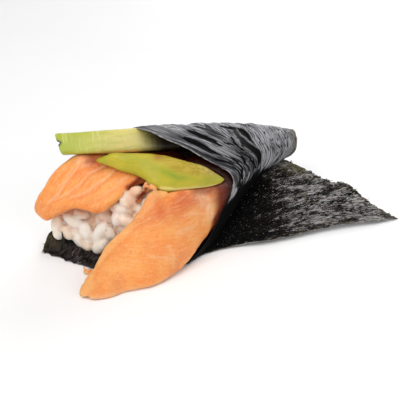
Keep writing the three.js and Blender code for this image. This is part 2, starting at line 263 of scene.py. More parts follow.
# ---------------------------------------------------------------- materials
class Finish:
    """A node material under construction. Patterns are in millimetres, on Object coordinates or a UV map."""

    def __init__(self, name, roughness, specular, uv_map=None):
        self.material = bpy.data.materials.new(name)
        self.material.use_nodes = True
        self.nodes = self.material.node_tree.nodes
        self.links = self.material.node_tree.links
        self.shader = self.nodes["Principled BSDF"]
        self.fill(self.shader, {"Roughness": roughness, "Specular IOR Level": specular})
        if uv_map:
            self.place = self.node("ShaderNodeUVMap", {}, uv_map=uv_map)
        else:
            self.place = self.node("ShaderNodeTexCoord", {}, "Object")

    def fill(self, node, inputs):
        """Gives inputs of a node, by name or number, a value or a link."""
        for name, value in inputs.items():
            if isinstance(value, bpy.types.NodeSocket):
                self.links.new(value, node.inputs[name])
            else:
                node.inputs[name].default_value = value

    def node(self, kind, inputs, output=0, **settings):
        """Adds a node, set up and filled, and gives one of its outputs."""
        made = self.nodes.new(kind)
        for name, value in settings.items():
            setattr(made, name, value)
        self.fill(made, inputs)
        return made.outputs[output]

    def attribute(self, name, output="Fac"):
        return self.node("ShaderNodeAttribute", {}, output, attribute_name=name)

    def millimetres(self, turn=(0, 0, 0), stretch=(1, 1, 1), centre=(0, 0, 0)):
        """Coordinates in millimetres from a centre, turned, then stretched along their own axes."""
        back = [-c for c in centre]
        moved = {0: self.place, 1: (1000, 1000, 1000), 2: back}
        turned = {
            "Vector": self.node("ShaderNodeVectorMath", moved, operation="MULTIPLY_ADD"),
            "Rotation": [math.radians(a) for a in turn],
        }
        stretched = {0: self.node("ShaderNodeVectorRotate", turned, rotation_type="EULER_XYZ"), 1: stretch}
        return self.node("ShaderNodeVectorMath", stretched, operation="MULTIPLY")

    def noise(self, scale, detail, roughness, distortion=0.0, place=None, **spot):
        """Noise on the coordinates given, or on those that millimetres makes."""
        inputs = {
            "Vector": place or self.millimetres(**spot), "Scale": scale, "Detail": detail,
            "Roughness": roughness, "Distortion": distortion,
        }
        return self.node("ShaderNodeTexNoise", inputs)

    def range(self, value, low, high, to_low=0.0, to_high=1.0):
        """A smooth step from to_low, where the value is low, to to_high."""
        inputs = {"Value": value, "From Min": low, "From Max": high, "To Min": to_low, "To Max": to_high}
        return self.node("ShaderNodeMapRange", inputs, "Result", interpolation_type="SMOOTHSTEP")

    def maths(self, operation, a, b):
        return self.node("ShaderNodeMath", {0: a, 1: b}, operation=operation)

    def add(self, a, b):
        return self.maths("ADD", a, b)

    def times(self, a, b):
        return self.maths("MULTIPLY", a, b)

    def blend(self, share, low, high):
        """Two colours mixed by a share from 0 to 1."""
        low, high = (c if isinstance(c, bpy.types.NodeSocket) else (*c, 1) for c in (low, high))
        return self.node("ShaderNodeMix", {"Factor": share, 6: low, 7: high}, 2, data_type="RGBA")

    def colour(self, base, *layers):
        """Sets the colour: a base, and others over it, each by a share or by a painted shade's name."""
        for share, over in layers:
            share = self.attribute(share) if isinstance(share, str) else share
            base = self.blend(share, base, over)
        self.fill(self.shader, {"Base Color": base})

    def relief(self, height, depth_mm):
        """Bump of the given depth, on top of any bump made before."""
        inputs = {"Distance": depth_mm * MM, "Strength": 1.0, "Height": height}
        before = self.shader.inputs["Normal"].links
        if before:
            inputs["Normal"] = before[0].from_socket
        self.fill(self.shader, {"Normal": self.node("ShaderNodeBump", inputs)})

    def flesh(self, weight, radius_mm, coat, coat_roughness):
        """Light that soaks in, and a film of moisture on top."""
        self.fill(self.shader, {
            "Subsurface Weight": weight, "Subsurface Radius": [r * MM for r in radius_mm],
            "Subsurface Scale": 1.0, "Coat Weight": coat, "Coat Roughness": coat_roughness,
        })


NORI_BLACK = (0.003, 0.003, 0.003)


def nori_outside():
    """The sheet's smooth side: a painted grey sheen round the roll, black as painted shade low on the flank
    and in the creases, with black slits and light hairlines.
    """
    finish = Finish("nori_smooth_side", 0.5, 0.05, "fibres")
    # painted sheen: grey where it is high, black as painted shade where it is low
    sheen = finish.attribute("sheen")
    strands = finish.millimetres(stretch=(1, 0.09, 1))
    fine = finish.noise(1.9, 4, 0.72, 0.4, strands)
    broad = finish.noise(0.5, 2, 0.6, 0.8, strands)
    hairs = finish.noise(2.2, 3, 0.7, 0.3, stretch=(1, 0.035, 1), centre=(9, 40, 0))
    slits = finish.noise(1.2, 1, 0.4, 0.2, stretch=(1, 0.13, 1), centre=(55, 9, 0))
    slits = finish.add(slits, finish.times(finish.attribute("slit"), 0.13))
    grit = finish.noise(2.4, 3, 0.7, stretch=(1, 0.15, 1))
    mixed = finish.add(finish.times(fine, 1.7), finish.times(broad, 0.9))
    lit = finish.range(finish.add(finish.times(sheen, 0.95), mixed), 1.55, 1.9)
    lit = finish.times(lit, finish.range(slits, 0.69, 0.64))
    lit = finish.times(lit, finish.range(sheen, 0.02, 0.25, 0.15, 1))
    bright = finish.range(finish.add(hairs, finish.times(sheen, 0.3)), 0.68, 0.86)
    grey = finish.blend(bright, (0.045, 0.045, 0.05), (0.42, 0.415, 0.435))
    finish.colour(
        finish.blend(lit, NORI_BLACK, grey),
        # painted highlight along the mouth edge, on a patch below the fold and on ridges
        ("rim", (0.5, 0.48, 0.5)),
        ("edge", (0.10, 0.09, 0.05)),
    )
    finish.relief(grit, 0.25)
    finish.relief(lit, 0.35)
    return finish.material


def nori_inside():
    """The sheet's rough side: near black, with short flecks of grey and brown that lie one way, hidden by
    painted shade near the roll.
    """
    finish = Finish("nori_rough_side", 0.6, 0.04, "fibres")
    flakes = finish.noise(2.1, 4, 0.72, 0.35, stretch=(0.17, 1, 1))
    fine = finish.noise(3.2, 2, 0.6, 0.2, stretch=(0.25, 1, 1), centre=(60, 20, 0))
    broad = finish.noise(0.3, 2, 0.5, 0.5, stretch=(0.4, 1, 1), centre=(80, 3, 0))
    patches = finish.noise(0.9, 3, 0.75, stretch=(0.4, 1, 1), centre=(31, 7, 0))
    starch = finish.range(finish.noise(1.6, 1, 0.4, centre=(5, 5, 0)), 0.695, 0.72)
    frost = finish.attribute("frost")
    ground = finish.add(finish.times(broad, 0.48), finish.times(frost, 0.17))
    large = finish.range(finish.add(flakes, ground), 0.925, 0.975)
    small = finish.range(finish.add(fine, ground), 0.965, 1.015)
    share = finish.maths("MAXIMUM", large, finish.times(small, 0.8))
    brown = finish.times(finish.range(patches, 0.45, 0.6), finish.range(frost, 0, 0.6))
    tongue = finish.blend(finish.range(patches, 0.42, 0.6), (0.006, 0.005, 0.005), (0.06, 0.047, 0.045))
    grey = finish.blend(finish.range(patches, 0.47, 0.62), (0.56, 0.55, 0.54), (0.23, 0.17, 0.125))
    finish.colour(
        finish.blend(brown, NORI_BLACK, (0.02, 0.013, 0.009)),
        ("tongue", tongue),
        (finish.times(share, finish.range(frost, 0.02, 0.5, 0.08, 1)), grey),
        (finish.times(finish.attribute("starch"), starch), (0.5, 0.5, 0.48)),
        ("edge", (0.13, 0.105, 0.035)),
    )
    finish.relief(flakes, 1.2)
    finish.relief(fine, 0.5)
    return finish.material


def nori_edge():
    """Cut edge of the sheet: pale grey as a painted highlight, near black as painted shade below the fold,
    and olive where light comes through it.
    """
    finish = Finish("nori_cut_edge", 0.6, 0.1)
    tone = finish.noise(0.8, 3, 0.6)
    finish.colour(
        finish.blend(finish.range(tone, 0.4, 0.6), (0.12, 0.115, 0.115), (0.46, 0.45, 0.45)),
        ("dim", (0.022, 0.025, 0.027)),
        ("edge", (0.11, 0.095, 0.05)),
    )
    finish.relief(tone, 0.4)
    return finish.material


def salmon():
    """Raw salmon: orange flesh in fine fibres, pale where fat crosses it, along a cut side and in a painted
    sheen; redder in places, and dark red to near black in painted shade.
    """
    finish = Finish("salmon_flesh", 0.4, 0.25)
    fibres = finish.noise(1.5, 4, 0.65, 0.5, finish.attribute("muscle", "Vector"))
    cloud = finish.noise(0.12, 3, 0.55)
    speckle = finish.noise(1.4, 3, 0.65)
    shade = finish.attribute("shade")
    finish.colour(
        finish.blend(finish.range(cloud, 0.35, 0.65), (0.90, 0.31, 0.07), (0.93, 0.40, 0.11)),
        ("side", (0.92, 0.45, 0.15)),
        ("red", (0.66, 0.12, 0.035)),
        (finish.range(fibres, 0.48, 0.66, 0, 0.4), (0.95, 0.50, 0.25)),
        (finish.range(fibres, 0.45, 0.3, 0, 0.35), (0.82, 0.21, 0.045)),
        (finish.range(speckle, 0.55, 0.75, 0, 0.5), (0.94, 0.56, 0.32)),
        (finish.range(speckle, 0.46, 0.28, 0, 0.5), (0.80, 0.20, 0.05)),
        ("fat", (0.95, 0.62, 0.38)),
        (finish.range(shade, 0, 0.55), (0.16, 0.018, 0.002)),
        (finish.range(shade, 0.5, 1), (0.025, 0.003, 0.001)),
    )
    finish.relief(finish.noise(0.8, 3, 0.6), 0.2)
    finish.relief(fibres, 0.4)
    finish.flesh(0.3, (2.4, 0.9, 0.4), 0.03, 0.25)
    return finish.material


def rice_grain():
    """Cooked grain: pinkish white or greyer and see-through, with painted orange light beside the salmon,
    wet.
    """
    finish = Finish("rice_grain", 0.35, 0.3)
    milky = finish.noise(0.45, 2, 0.5)
    share = finish.add(finish.times(finish.attribute("tone"), 0.75), finish.times(milky, 0.4))
    finish.colour(
        finish.blend(finish.range(share, 0.15, 0.95), (0.80, 0.64, 0.505), (0.95, 0.84, 0.755)),
        ("warm", (0.80, 0.42, 0.25)),
        ("shade", (0.015, 0.008, 0.005)),
    )
    finish.relief(finish.noise(1.3, 2, 0.5), 0.12)
    finish.flesh(1.0, (3.6, 3.0, 2.5), 0.2, 0.2)
    return finish.material


def rice_heart():
    """Rice between and behind the grains, warmer, and darker as painted shade in the gaps."""
    finish = Finish("rice_heart", 0.5, 0.4)
    tone = finish.noise(0.5, 3, 0.6)
    finish.colour(
        finish.blend(finish.range(tone, 0.35, 0.65), (0.76, 0.55, 0.40), (0.86, 0.69, 0.56)),
        ("warm", (0.76, 0.38, 0.20)),
        ("shade", (0.015, 0.008, 0.005)),
    )
    finish.relief(finish.noise(0.45, 2, 0.5), 0.8)
    finish.flesh(0.5, (1.2, 1.0, 0.85), 0.1, 0.3)
    return finish.material


def avocado():
    """Ripe avocado: yellow green, ochre above a green vein, with a pale painted highlight along its lower rim
    and painted shade under the sheet.
    """
    finish = Finish("avocado_flesh", 0.45, 0.3)
    grain = finish.noise(0.9, 4, 0.65, 0.4, turn=(0, 0, -16), stretch=(0.1, 1, 1))
    cloud = finish.noise(0.14, 3, 0.5)
    finish.colour(
        finish.blend(finish.range(cloud, 0.35, 0.65), (0.43, 0.375, 0.018), (0.52, 0.43, 0.03)),
        (finish.range(grain, 0.5, 0.7, 0, 0.35), (0.36, 0.37, 0.02)),
        ("ochre", finish.blend(finish.range(grain, 0.4, 0.6), (0.40, 0.28, 0.022), (0.52, 0.38, 0.05))),
        ("green", (0.22, 0.32, 0.02)),
        ("bruise", (0.36, 0.13, 0.015)),
        ("rim", (0.84, 0.72, 0.28)),
        ("shade", (0.07, 0.04, 0.008)),
    )
    finish.relief(grain, 0.3)
    finish.flesh(0.2, (1.2, 1.0, 0.3), 0.08, 0.25)
    return finish.material


def cucumber():
    """Cucumber baton: bright green towards its left end and creamy to the right, dark where skin is left."""
    finish = Finish("cucumber_flesh", 0.35, 0.4)
    x = finish.node("ShaderNodeSeparateXYZ", {0: finish.millimetres(centre=(-36, 0, 0))}, "X")
    fibres = finish.noise(0.9, 3, 0.6, 0.3, turn=(0, 0, -21), stretch=(0.14, 1, 1))
    cross = finish.noise(0.8, 3, 0.6, 0.3, turn=(0, 0, -21), stretch=(1, 0.2, 0.2))
    pale = finish.add(x, finish.add(finish.times(cross, 8), 0.5))
    finish.colour(
        finish.blend(finish.range(pale, -14, 10), (0.39, 0.45, 0.035), (0.72, 0.62, 0.20)),
        (finish.range(fibres, 0.45, 0.7, 0, 0.4), (0.38, 0.46, 0.04)),
        (finish.range(cross, 0.55, 0.7, 0, 0.3), (0.80, 0.76, 0.40)),
        ("skin", finish.blend(finish.range(fibres, 0.4, 0.6), (0.006, 0.012, 0.004), (0.02, 0.04, 0.008))),
        ("shade", (0.03, 0.018, 0.008)),
    )
    finish.relief(fibres, 0.2)
    finish.relief(cross, 0.15)
    finish.flesh(0.3, (1.2, 1.3, 0.5), 0.2, 0.15)
    return finish.material


# ---------------------------------------------------------------- nori sheet
MOUTH_CENTRE = Vector((-18, 5, 0))
HEADING = math.radians(43)  # from +X to the roll's axis, seen from above
AXIS = Vector((math.cos(HEADING), math.sin(HEADING), 0))
ACROSS = Vector((AXIS.y, -AXIS.x, 0))  # towards the front of the roll
# The roll's section, by place along its axis from the mouth.
HALF_WIDTH = [
    (-35, 20), (0, 20), (10, 18.8), (20, 16.6), (30, 14.2), (40, 11.8), (50, 9.2), (60, 6.8), (70, 5),
    (76, 4.4),
]
TOP = [
    (-35, 38), (-8, 39.8), (0, 39.9), (7, 38.9), (15, 37.7), (28, 35.4), (43.5, 31.8), (58, 27.6), (69, 23.6),
    (76, 20.5),
]
FOOT = [
    (-35, 0.18), (5, 0.18), (10, 0.22), (20, 1.2), (28, 3.4), (35, 6), (40, 8), (45, 9.6), (51, 10.8),
    (60, 11.4), (76, 11.6),
]
BACK_BULGE = [(-35, 0.4), (0, 0.6), (30, 0.3), (76, 0)]
FOOT_RADIUS = [(-35, 3.5), (-15, 6), (10, 11), (30, 12), (60, 7), (76, 5)]
# Where the sheet ends at the front of the roll: to the side and up.
LAST_SIDE = [
    (-6, 22), (-1, 21.5), (9, 19.6), (15, 17.3), (19, 15.8), (25, 13.6), (30, 11.3), (38, 8), (46.8, 5.6),
    (60, 3.2), (73, 1.8),
]
LAST_HEIGHT = [
    (-6, 0.9), (9, 1.05), (15, 1.7), (19, 2.6), (22, 4.2), (25, 4.9), (30, 5.6), (38, 7.6), (46.8, 9.9),
    (60, 11.9), (73, 12.5),
]
# The sheet's two edges along the roll's axis, by degrees round the roll.
MOUTH_EDGE = [
    (-412, -1.7), (-408.4, 4.7), (-402, 11.8), (-394, 17.4), (-387, 19.2), (-381, 22.5), (-375, 24.7),
    (-361, 26.3), (-348, 23.8), (-338.4, 19.8), (-329, 15.5), (-317.7, 11.3), (-308, 8.6), (-299.6, 6),
    (-288.7, 2.9), (-277, 1.9), (-258.4, 1.8), (-248, 3.6), (-238, 4.4), (-225, 3), (-205, -5), (-180, -14.5),
    (-165, -19.3), (-155, -22), (-147, -24.6), (-140, -27.3), (-131, -31.4), (-90, -25.2),
]
END_EDGE = [(-412, 69.2), (-360, 69.0), (-300, 70.5), (-272, 71.5), (-230, 72), (-180, 71), (-90, 67)]
# The free edge on the table: its ends, and how far it bows back and lifts, by share of the way along.
NEAR_CORNER = (-24.9, -20.3, 0)
FREE_CORNER = (69.6, 22.2, 0)
EDGE_BOW = [
    (0, 0), (0.22, 0), (0.27, 3), (0.3, 4.2), (0.36, 4.9), (0.42, 4.2), (0.5, 2.2), (0.6, 1.9), (0.7, 2.1),
    (0.8, 1.5), (0.9, 0.2), (1, 0),
]
EDGE_LIFT = [
    (0, 0.18), (0.3, 0.2), (0.36, 0.5), (0.42, 0.9), (0.5, 1.2), (0.7, 1.5), (0.81, 1.6), (0.9, 1.1),
    (1, 0.2),
]
BOW_WAY = (-0.41, 0.91, 0)
TABLE_GAP = 0.18  # between the sheet's middle and the table
FLAP_SHARE = 0.3  # of the sheet, the part that lies free
SHEET_SIZE = (105, 190)  # the whole sheet, for the scale of its torn edges
SHEET_CELLS = (150, 290)
SHEET_THICK = 0.26
FIRST_ANGLE = -90  # where the sheet goes in under the roll, in degrees round it
LAST_ANGLE = -412  # where it ends, at the front
FIBRE_TURN = 110 / (FIRST_ANGLE - LAST_ANGLE)  # millimetres of sheet for each degree round the roll
FLAP_DEPTH = 45
SHEET_ACROSS = 72  # of the sheet from the mouth edge to the end edge, once rolled
# How far the fibres drift across the sheet for each millimetre round the roll, by place across it.
FIBRE_DRIFT = [
    (0, 0.1), (7, 0.4), (12, 0.3), (17, 0.08), (24, -0.1), (31, -0.5), (45, -0.32), (60, -0.15), (72, 0),
]
FIBRE_PIVOT = 73
CURL_ENDS = (0.43, 0.385)  # shares of the sheet between which the tongue's curl dies out
TUCK_AT = 0.45  # where the mouth edge is tucked back under the rice, and how far, as shares of the sheet
TUCK_BACK = 0.09
FLAKE_ALONG = Vector((math.cos(math.radians(-4)), math.sin(math.radians(-4))))
# How low the smooth side's painted sheen reaches, in degrees round the roll, by place across the sheet; below
# it the flank is painted black as shade.
SHEEN_ENDS = [(0, -372), (10, -375), (19, -380), (28, -377), (40, -388), (51, -398), (60, -408), (72, -416)]
NEAR_EDGE_BACK = 0.022  # how far back the tongue's near edge lies, as a share of the sheet
EDGE_FADE = 24  # how fast the tearing of an edge dies out inwards


def round_by(angle):
    """Millimetres of sheet round the roll, up to an angle in degrees."""
    return (FIRST_ANGLE - angle) * FIBRE_TURN


def angle_at(b):
    return FIRST_ANGLE - b / FIBRE_TURN


def in_roll(along, side, up):
    place = MOUTH_CENTRE + AXIS * along + ACROSS * side
    place.z = up
    return place


def section_point(along, angle):
    """A place on the rolled part of the sheet, by place along the roll and degrees round it."""
    half = through(HALF_WIDTH, along)
    top = through(TOP, along)
    foot = through(FOOT, along)
    middle = (top + foot) / 2
    if angle < -360:
        t = (-360 - angle) / (-360 - LAST_ANGLE)
        side = mix(half, through(LAST_SIDE, along), t * t)
        return in_roll(along, side, mix(middle, through(LAST_HEIGHT, along), t))
    c = math.cos(math.radians(angle))
    s = math.sin(math.radians(angle))
    wide = half + (through(BACK_BULGE, along) if c < 0 else 0)
    if s >= 0:
        power = 2 / 2.3
        up = middle + (top - foot) / 2 * s ** power
        return in_roll(along, math.copysign(wide * abs(c) ** power, c), up)
    radius = min(through(FOOT_RADIUS, along), wide * 0.95, (middle - foot) * 0.95)
    flat = wide - radius
    arc = radius * math.pi / 2
    run = (-90 - angle) / 90 * (flat + arc + middle - foot - radius)
    if run < flat:
        return in_roll(along, -run, foot)
    if run > flat + arc:
        return in_roll(along, -wide, foot + radius + run - flat - arc)
    turn = (run - flat) / radius
    return in_roll(along, -flat - radius * math.sin(turn), foot + radius * (1 - math.cos(turn)))


def along_roll(u, angle):
    return mix(through(MOUTH_EDGE, angle), through(END_EDGE, angle), u)


def flap_point(u, w):
    """A place on the free part of the sheet, w of the way from its free edge to the roll."""
    bow = through(EDGE_BOW, u)
    near = Vector([mix(start, end, u) for start, end in zip(NEAR_CORNER, FREE_CORNER)])
    near += Vector([way * bow for way in BOW_WAY])
    root = section_point(along_roll(u, FIRST_ANGLE), FIRST_ANGLE)
    place = near.lerp(root, w)
    ripple = 3 * bump(w, 0.42, 0.12) * u ** 6
    lift = through(EDGE_LIFT, u) * (1 - w) ** 2
    place.z = lift + TABLE_GAP * (1 - (1 - w) ** 2) + (root.z - TABLE_GAP) * w + ripple
    return place


def sheet_point(u, v):
    """A place, and its own coordinates on the sheet: across it from the mouth edge, and round the roll."""
    if v < FLAP_SHARE:
        w = v / FLAP_SHARE
        return flap_point(u, w), (u * SHEET_ACROSS, (w - 1) * FLAP_DEPTH)
    angle = mix(FIRST_ANGLE, LAST_ANGLE, (v - FLAP_SHARE) / (1 - FLAP_SHARE))
    return section_point(along_roll(u, angle), angle), (u * SHEET_ACROSS, round_by(angle))


def ragged(place, scale, seed):
    """Uneven tearing, from about -1 to 1."""
    return uneven(place * scale, seed, 0) + 0.5 * uneven(place * scale * 3.1, seed, 5)


def fibre_place(a, b):
    """Coordinates that run across the fibres and along them."""
    away = b - FIBRE_PIVOT
    reach = 22 if away > 0 else 9
    away = reach * math.tanh(away / reach)
    return a - through(FIBRE_DRIFT, a) * away + 1.2 * uneven(a * 0.06, b * 0.05, 3), b


def ridge(x, y, z):
    """A sharp crest where the noise crosses zero, from 0 to 1."""
    return 1 - min(1.0, abs(uneven(x, y, z)) * 3)


def fibre_relief(a, b):
    """Creases and crests that follow the fibres, from about -1 to 1."""
    p, q = fibre_place(a, b)
    crest = ridge(p * 0.42, q * 0.06, 31)
    return 0.55 * uneven(p * 0.3, q * 0.04, 11) + 0.4 * uneven(p * 0.62, q * 0.075, 23) + 0.5 * (crest - 0.5)


def flake_relief(a, b):
    """Matted flakes on the rough side, from about -1 to 1."""
    a += 1.4 * uneven(a * 0.3, b * 0.3, 7)
    return ridge(a * 0.26, b * 0.62, 51) - 0.5 + 0.8 * uneven(a * 0.5, b * 1.2, 57)


def flap_grain(a, b):
    """Coordinates along and across the flakes of the flap, in mm."""
    a *= 1.35
    return a * FLAKE_ALONG.x + b * FLAKE_ALONG.y, b * FLAKE_ALONG.x - a * FLAKE_ALONG.y


# Creases and ridges: (places across the sheet and degrees round the roll, half width and depth in mm).
CREASES = [
    ([(7.9, -292), (7.5, -301), (7.7, -308), (8.3, -314), (9.9, -323)], 2.9, 0.9),
    ([(15.2, -280), (15.9, -290), (15.8, -296), (16.2, -303), (16.0, -313)], 2.3, 0.8),
    ([(26.6, -270), (22.8, -291), (24.2, -303)], 1.4, 0.5),
    ([(21.8, -266), (22.3, -277), (22.0, -288)], 1.2, 0.4),
    ([(33.1, -276), (37.9, -290), (34.3, -308), (32.0, -324), (30.3, -344), (28.8, -363)], 4.2, 1.2),
    ([(36.8, -298), (31.6, -315), (26.7, -326)], 1.0, 0.4),
    ([(19.2, -312), (22.9, -318)], 0.8, 0.4),
    ([(27.0, -306), (25.0, -318), (23.5, -331)], 0.9, 0.5),
    ([(12.9, -331), (10.6, -348)], 0.8, 0.4),
    ([(5.7, -345), (6.8, -356), (8.4, -366)], 0.7, 0.3),
    ([(3.5, -324), (5.8, -338)], 0.7, 0.3),
    ([(22.4, -338), (20.8, -351), (25.0, -368)], 1.0, 0.5),
    ([(18.6, -337), (15.2, -349), (16.3, -363)], 0.9, 0.4),
    ([(10.6, -352), (9.2, -360), (11.5, -374)], 0.7, 0.4),
    ([(41.8, -314), (41.0, -327)], 0.5, 0.3),
    ([(48.3, -322), (48.8, -334)], 0.5, 0.3),
    ([(50.6, -344), (53.5, -366)], 0.6, 0.3),
    ([(41.9, -337), (41.0, -352)], 0.5, 0.3),
]
RIDGES = [
    ([(9.8, -290), (11.2, -297), (12.4, -301), (13.2, -306), (14.4, -312)], 0.35, 0.25),
    ([(19.4, -277), (19.0, -291), (18.4, -303), (18.9, -313), (19.1, -321)], 0.35, 0.25),
    ([(5.0, -296), (4.6, -306), (4.9, -316), (6.4, -325)], 0.6, 0.15),
    ([(38.5, -284), (36.3, -303), (34.6, -322), (34.0, -344)], 0.4, 0.2),
]


def on_sheet(lines):
    """The same lines in mm across the sheet and round the roll."""
    return [
        (points(*((a, round_by(angle), 0) for a, angle in line)), width, depth)
        for line, width, depth in lines
    ]


CREASE_LINES = on_sheet(CREASES)
RIDGE_LINES = on_sheet(RIDGES)


def crease(a, b, lines):
    """A place's depth in the creases given, or height on ridges, in mm, and how near a middle it is."""
    place = Vector((a + 0.5 * uneven(a * 0.5, b * 0.5, 71), b, 0))
    height = 0.0
    core = 0.0
    for line, width, depth in lines:
        if b < line[0].y - 4 or b > line[-1].y + 4:
            continue
        distance, _, share = near_line(place, line)
        here = bump(distance, 0, width * (0.45 + 0.55 * math.sin(math.pi * share)))
        height += depth * here
        core = max(core, here)
    return height, core


def edge_tint(a, b, u, v):
    """How olive the sheet is, from 0 to 1: at its end edge and its free edge, in patches."""
    rolled = v > FLAP_SHARE
    end = bump(1 - u, 0, 0.06 if rolled else 0.012)
    end *= clamp01((0.9 if rolled else 0.3) + 1.2 * uneven(b * 0.6, a * 0.9, 3))
    near = bump(v, 0, 0.008) * clamp01(0.3 + uneven(a * 0.3, 5, 5)) * 0.7
    tongue = bump(v, 0.42, 0.035) * bump(u, 0.0, 0.12) * clamp01(0.6 + 1.8 * uneven(a * 0.6, b * 0.5, 9))
    corner = bump(u, 0.98, 0.05) * bump(v, 0.256, 0.024) * clamp01(0.7 + 1.5 * uneven(a * 0.7, b * 0.7, 15))
    return clamp01(end + near + tongue + corner)


def sheen_at(a, b, v, dark):
    """How far the smooth side is painted a shining grey, from 0 to 1: painted sheen, and black as painted
    shade low on the flank and in the creases.
    """
    if v < FLAP_SHARE:
        return 0.3
    angle = angle_at(b)
    patches = 0.88 + 0.4 * uneven(a * 0.12, b * 0.08, 61)
    low = through(SHEEN_ENDS, a) - 9 * uneven(a * 0.45, 3, 61)
    lit = step(angle, low - 7, low + 7) * mix(0.8, 1.06, clamp01(a / 45)) * patches
    # a faint band of painted sheen low on the roll near the mouth edge
    band = 0.12 * bump(a, 3.5, 4) * step(angle, -352, -378)
    return clamp01(lit * (1 - step(dark, 0.35, 0.55)) + band)


def rim_at(a, b, v, core):
    """How pale the smooth side is painted as a highlight: along the mouth edge down to the fold, at a patch
    below it, on ridges.
    """
    if v < 0.48:
        return 0.0
    angle = angle_at(b)
    edge = 0.8 * bump(a, 0, 0.35) * step(angle, -374, -368)
    torn = 0.6 * uneven(a * 1.3, b * 0.8, 33)
    patch = 0.75 * step(math.hypot((a - 4) / 4.5, (angle + 374 + 0.7 * a) / 6.5) + torn, 1.1, 0.7)
    return clamp01(max(edge, patch, 0.55 * core))


def frost_at(place, v):
    """How grey and flaky the rough side is, from 0 to 1: painted shade makes it black near the roll, and it
    is greyer to the right.
    """
    if v > 0.47:
        return 0.0
    x = place.x + 7 * uneven(place.x * 0.08, place.y * 0.3, 45)
    return step(x, 2, 33) + 0.3 * step(x, -36, -42)


def sheet_shades(spot, place, dark, core):
    """Each painted value of the sheet at one of its points, real colours and painted light alike."""
    a, b, u, v = spot
    angle = angle_at(b)
    return {
        "edge": edge_tint(a, b, u, v),
        "sheen": sheen_at(a, b, v, dark),
        "starch": step(place.x, -12, 0),
        "rim": rim_at(a, b, v, core),
        "slit": step(angle, -318, -338) * step(a, 34, 28) * step(a, 4, 9) + 0.25 * step(a, 30, 40),
        # the cut edge below the fold, darkened as painted shade
        "dim": step(angle, -368, -374) * step(u, 0.5, 0.4),
        "tongue": step(place.x, -36, -40) * step(v, 0.48, 0.46),
        "frost": frost_at(place, v),
    }


TONGUE_FRONT = ((-59, -13.6), (-42, -25.8))  # the tongue's near edge, on the table
TONGUE_CREST = ((-57, -9), (-41.4, -16.5))  # where it has curled up against the rice
CREST_HEIGHT = [
    (-60, 3.2), (-55, 3.1), (-53, 4.2), (-50, 3.9), (-48, 3.4), (-45, 2.4), (-41.4, 1.4), (-36, 0),
]


def across_ends(ends, x):
    (x0, y0), (x1, y1) = ends
    return y0 + (x - x0) * (y1 - y0) / (x1 - x0)


def curl(x, y):
    """How far the tongue curls up off the table, in mm."""
    front = across_ends(TONGUE_FRONT, x)
    t = (y - front) / (across_ends(TONGUE_CREST, x) - front)
    up = step(t, 0, 1) if t < 1 else step(t, 1.9, 1)
    return through(CREST_HEIGHT, x) * up


def torn(u, v):
    """A point of the sheet, in shares of it, moved where an edge is torn, tucked in or further back."""
    short, long = SHEET_SIZE
    loose = 3 if v < FLAP_SHARE else 1.4
    frayed = 1 + 3.5 * bump(v, 0.38, 0.045)
    near_end = frayed * ragged(v * long, 0.35, 1) * (1 - u) ** EDGE_FADE
    torn_u = u + (near_end - loose * ragged(v * long, 0.6, 2) * u ** EDGE_FADE) * 0.005
    torn_u = mix(torn_u, 1, TUCK_BACK * bump(v, TUCK_AT, 0.025) + NEAR_EDGE_BACK * bump(v, 0.37, 0.04))
    near = max(0.0, 1 - v / 0.02)
    last = max(0.0, 1 - (1 - v) / 0.02)
    torn_v = v + ragged(u * short, 0.5, 3) * 0.0026 * near - ragged(u * short, 0.4, 4) * 0.002 * last
    return clamp01(torn_u), clamp01(torn_v)


def lay_sheet(mesh):
    """Lays a flat grid round the roll; gives each point's own coordinates and its shares of the sheet."""
    spots = []
    for vertex in mesh.vertices:
        u = (vertex.co.x + 1) / 2
        v = (vertex.co.y + 1) / 2
        place, (a, b) = sheet_point(*torn(u, v))
        vertex.co = (place - TABLE_CENTRE) * MM
        spots.append((a, b, u, v))
    mesh.update()
    return spots


def press_sheet(mesh, spots, creases, ridges):
    """Presses creases and fine relief into the roll, and lifts the flap's flakes and the tongue's curl."""
    normals = [vertex.normal.copy() for vertex in mesh.vertices]
    rows = zip(mesh.vertices, normals, spots, creases, ridges)
    for vertex, normal, (a, b, _, v), (deep, _), (high, _) in rows:
        if v > FLAP_SHARE:
            rise = clamp01((b - 20) / 25)
            sunk = 0.55 * bump(b, round_by(-250), 10) * step(a, 8, 22)
            out = (0.55 * fibre_relief(a, b) - 0.4) * rise - deep + high - sunk
            vertex.co -= normal * (out * MM)
        else:
            wave = uneven(a * 0.09, b * 0.16, 41)
            lift = max(0.0, 0.3 + wave) * 0.5 + max(0.0, 0.3 + flake_relief(*flap_grain(a, b))) * 0.4
            vertex.co.z += lift * clamp01(-b / 8) * MM
        vertex.co.z += curl(vertex.co.x / MM, vertex.co.y / MM) * step(v, *CURL_ENDS) * MM


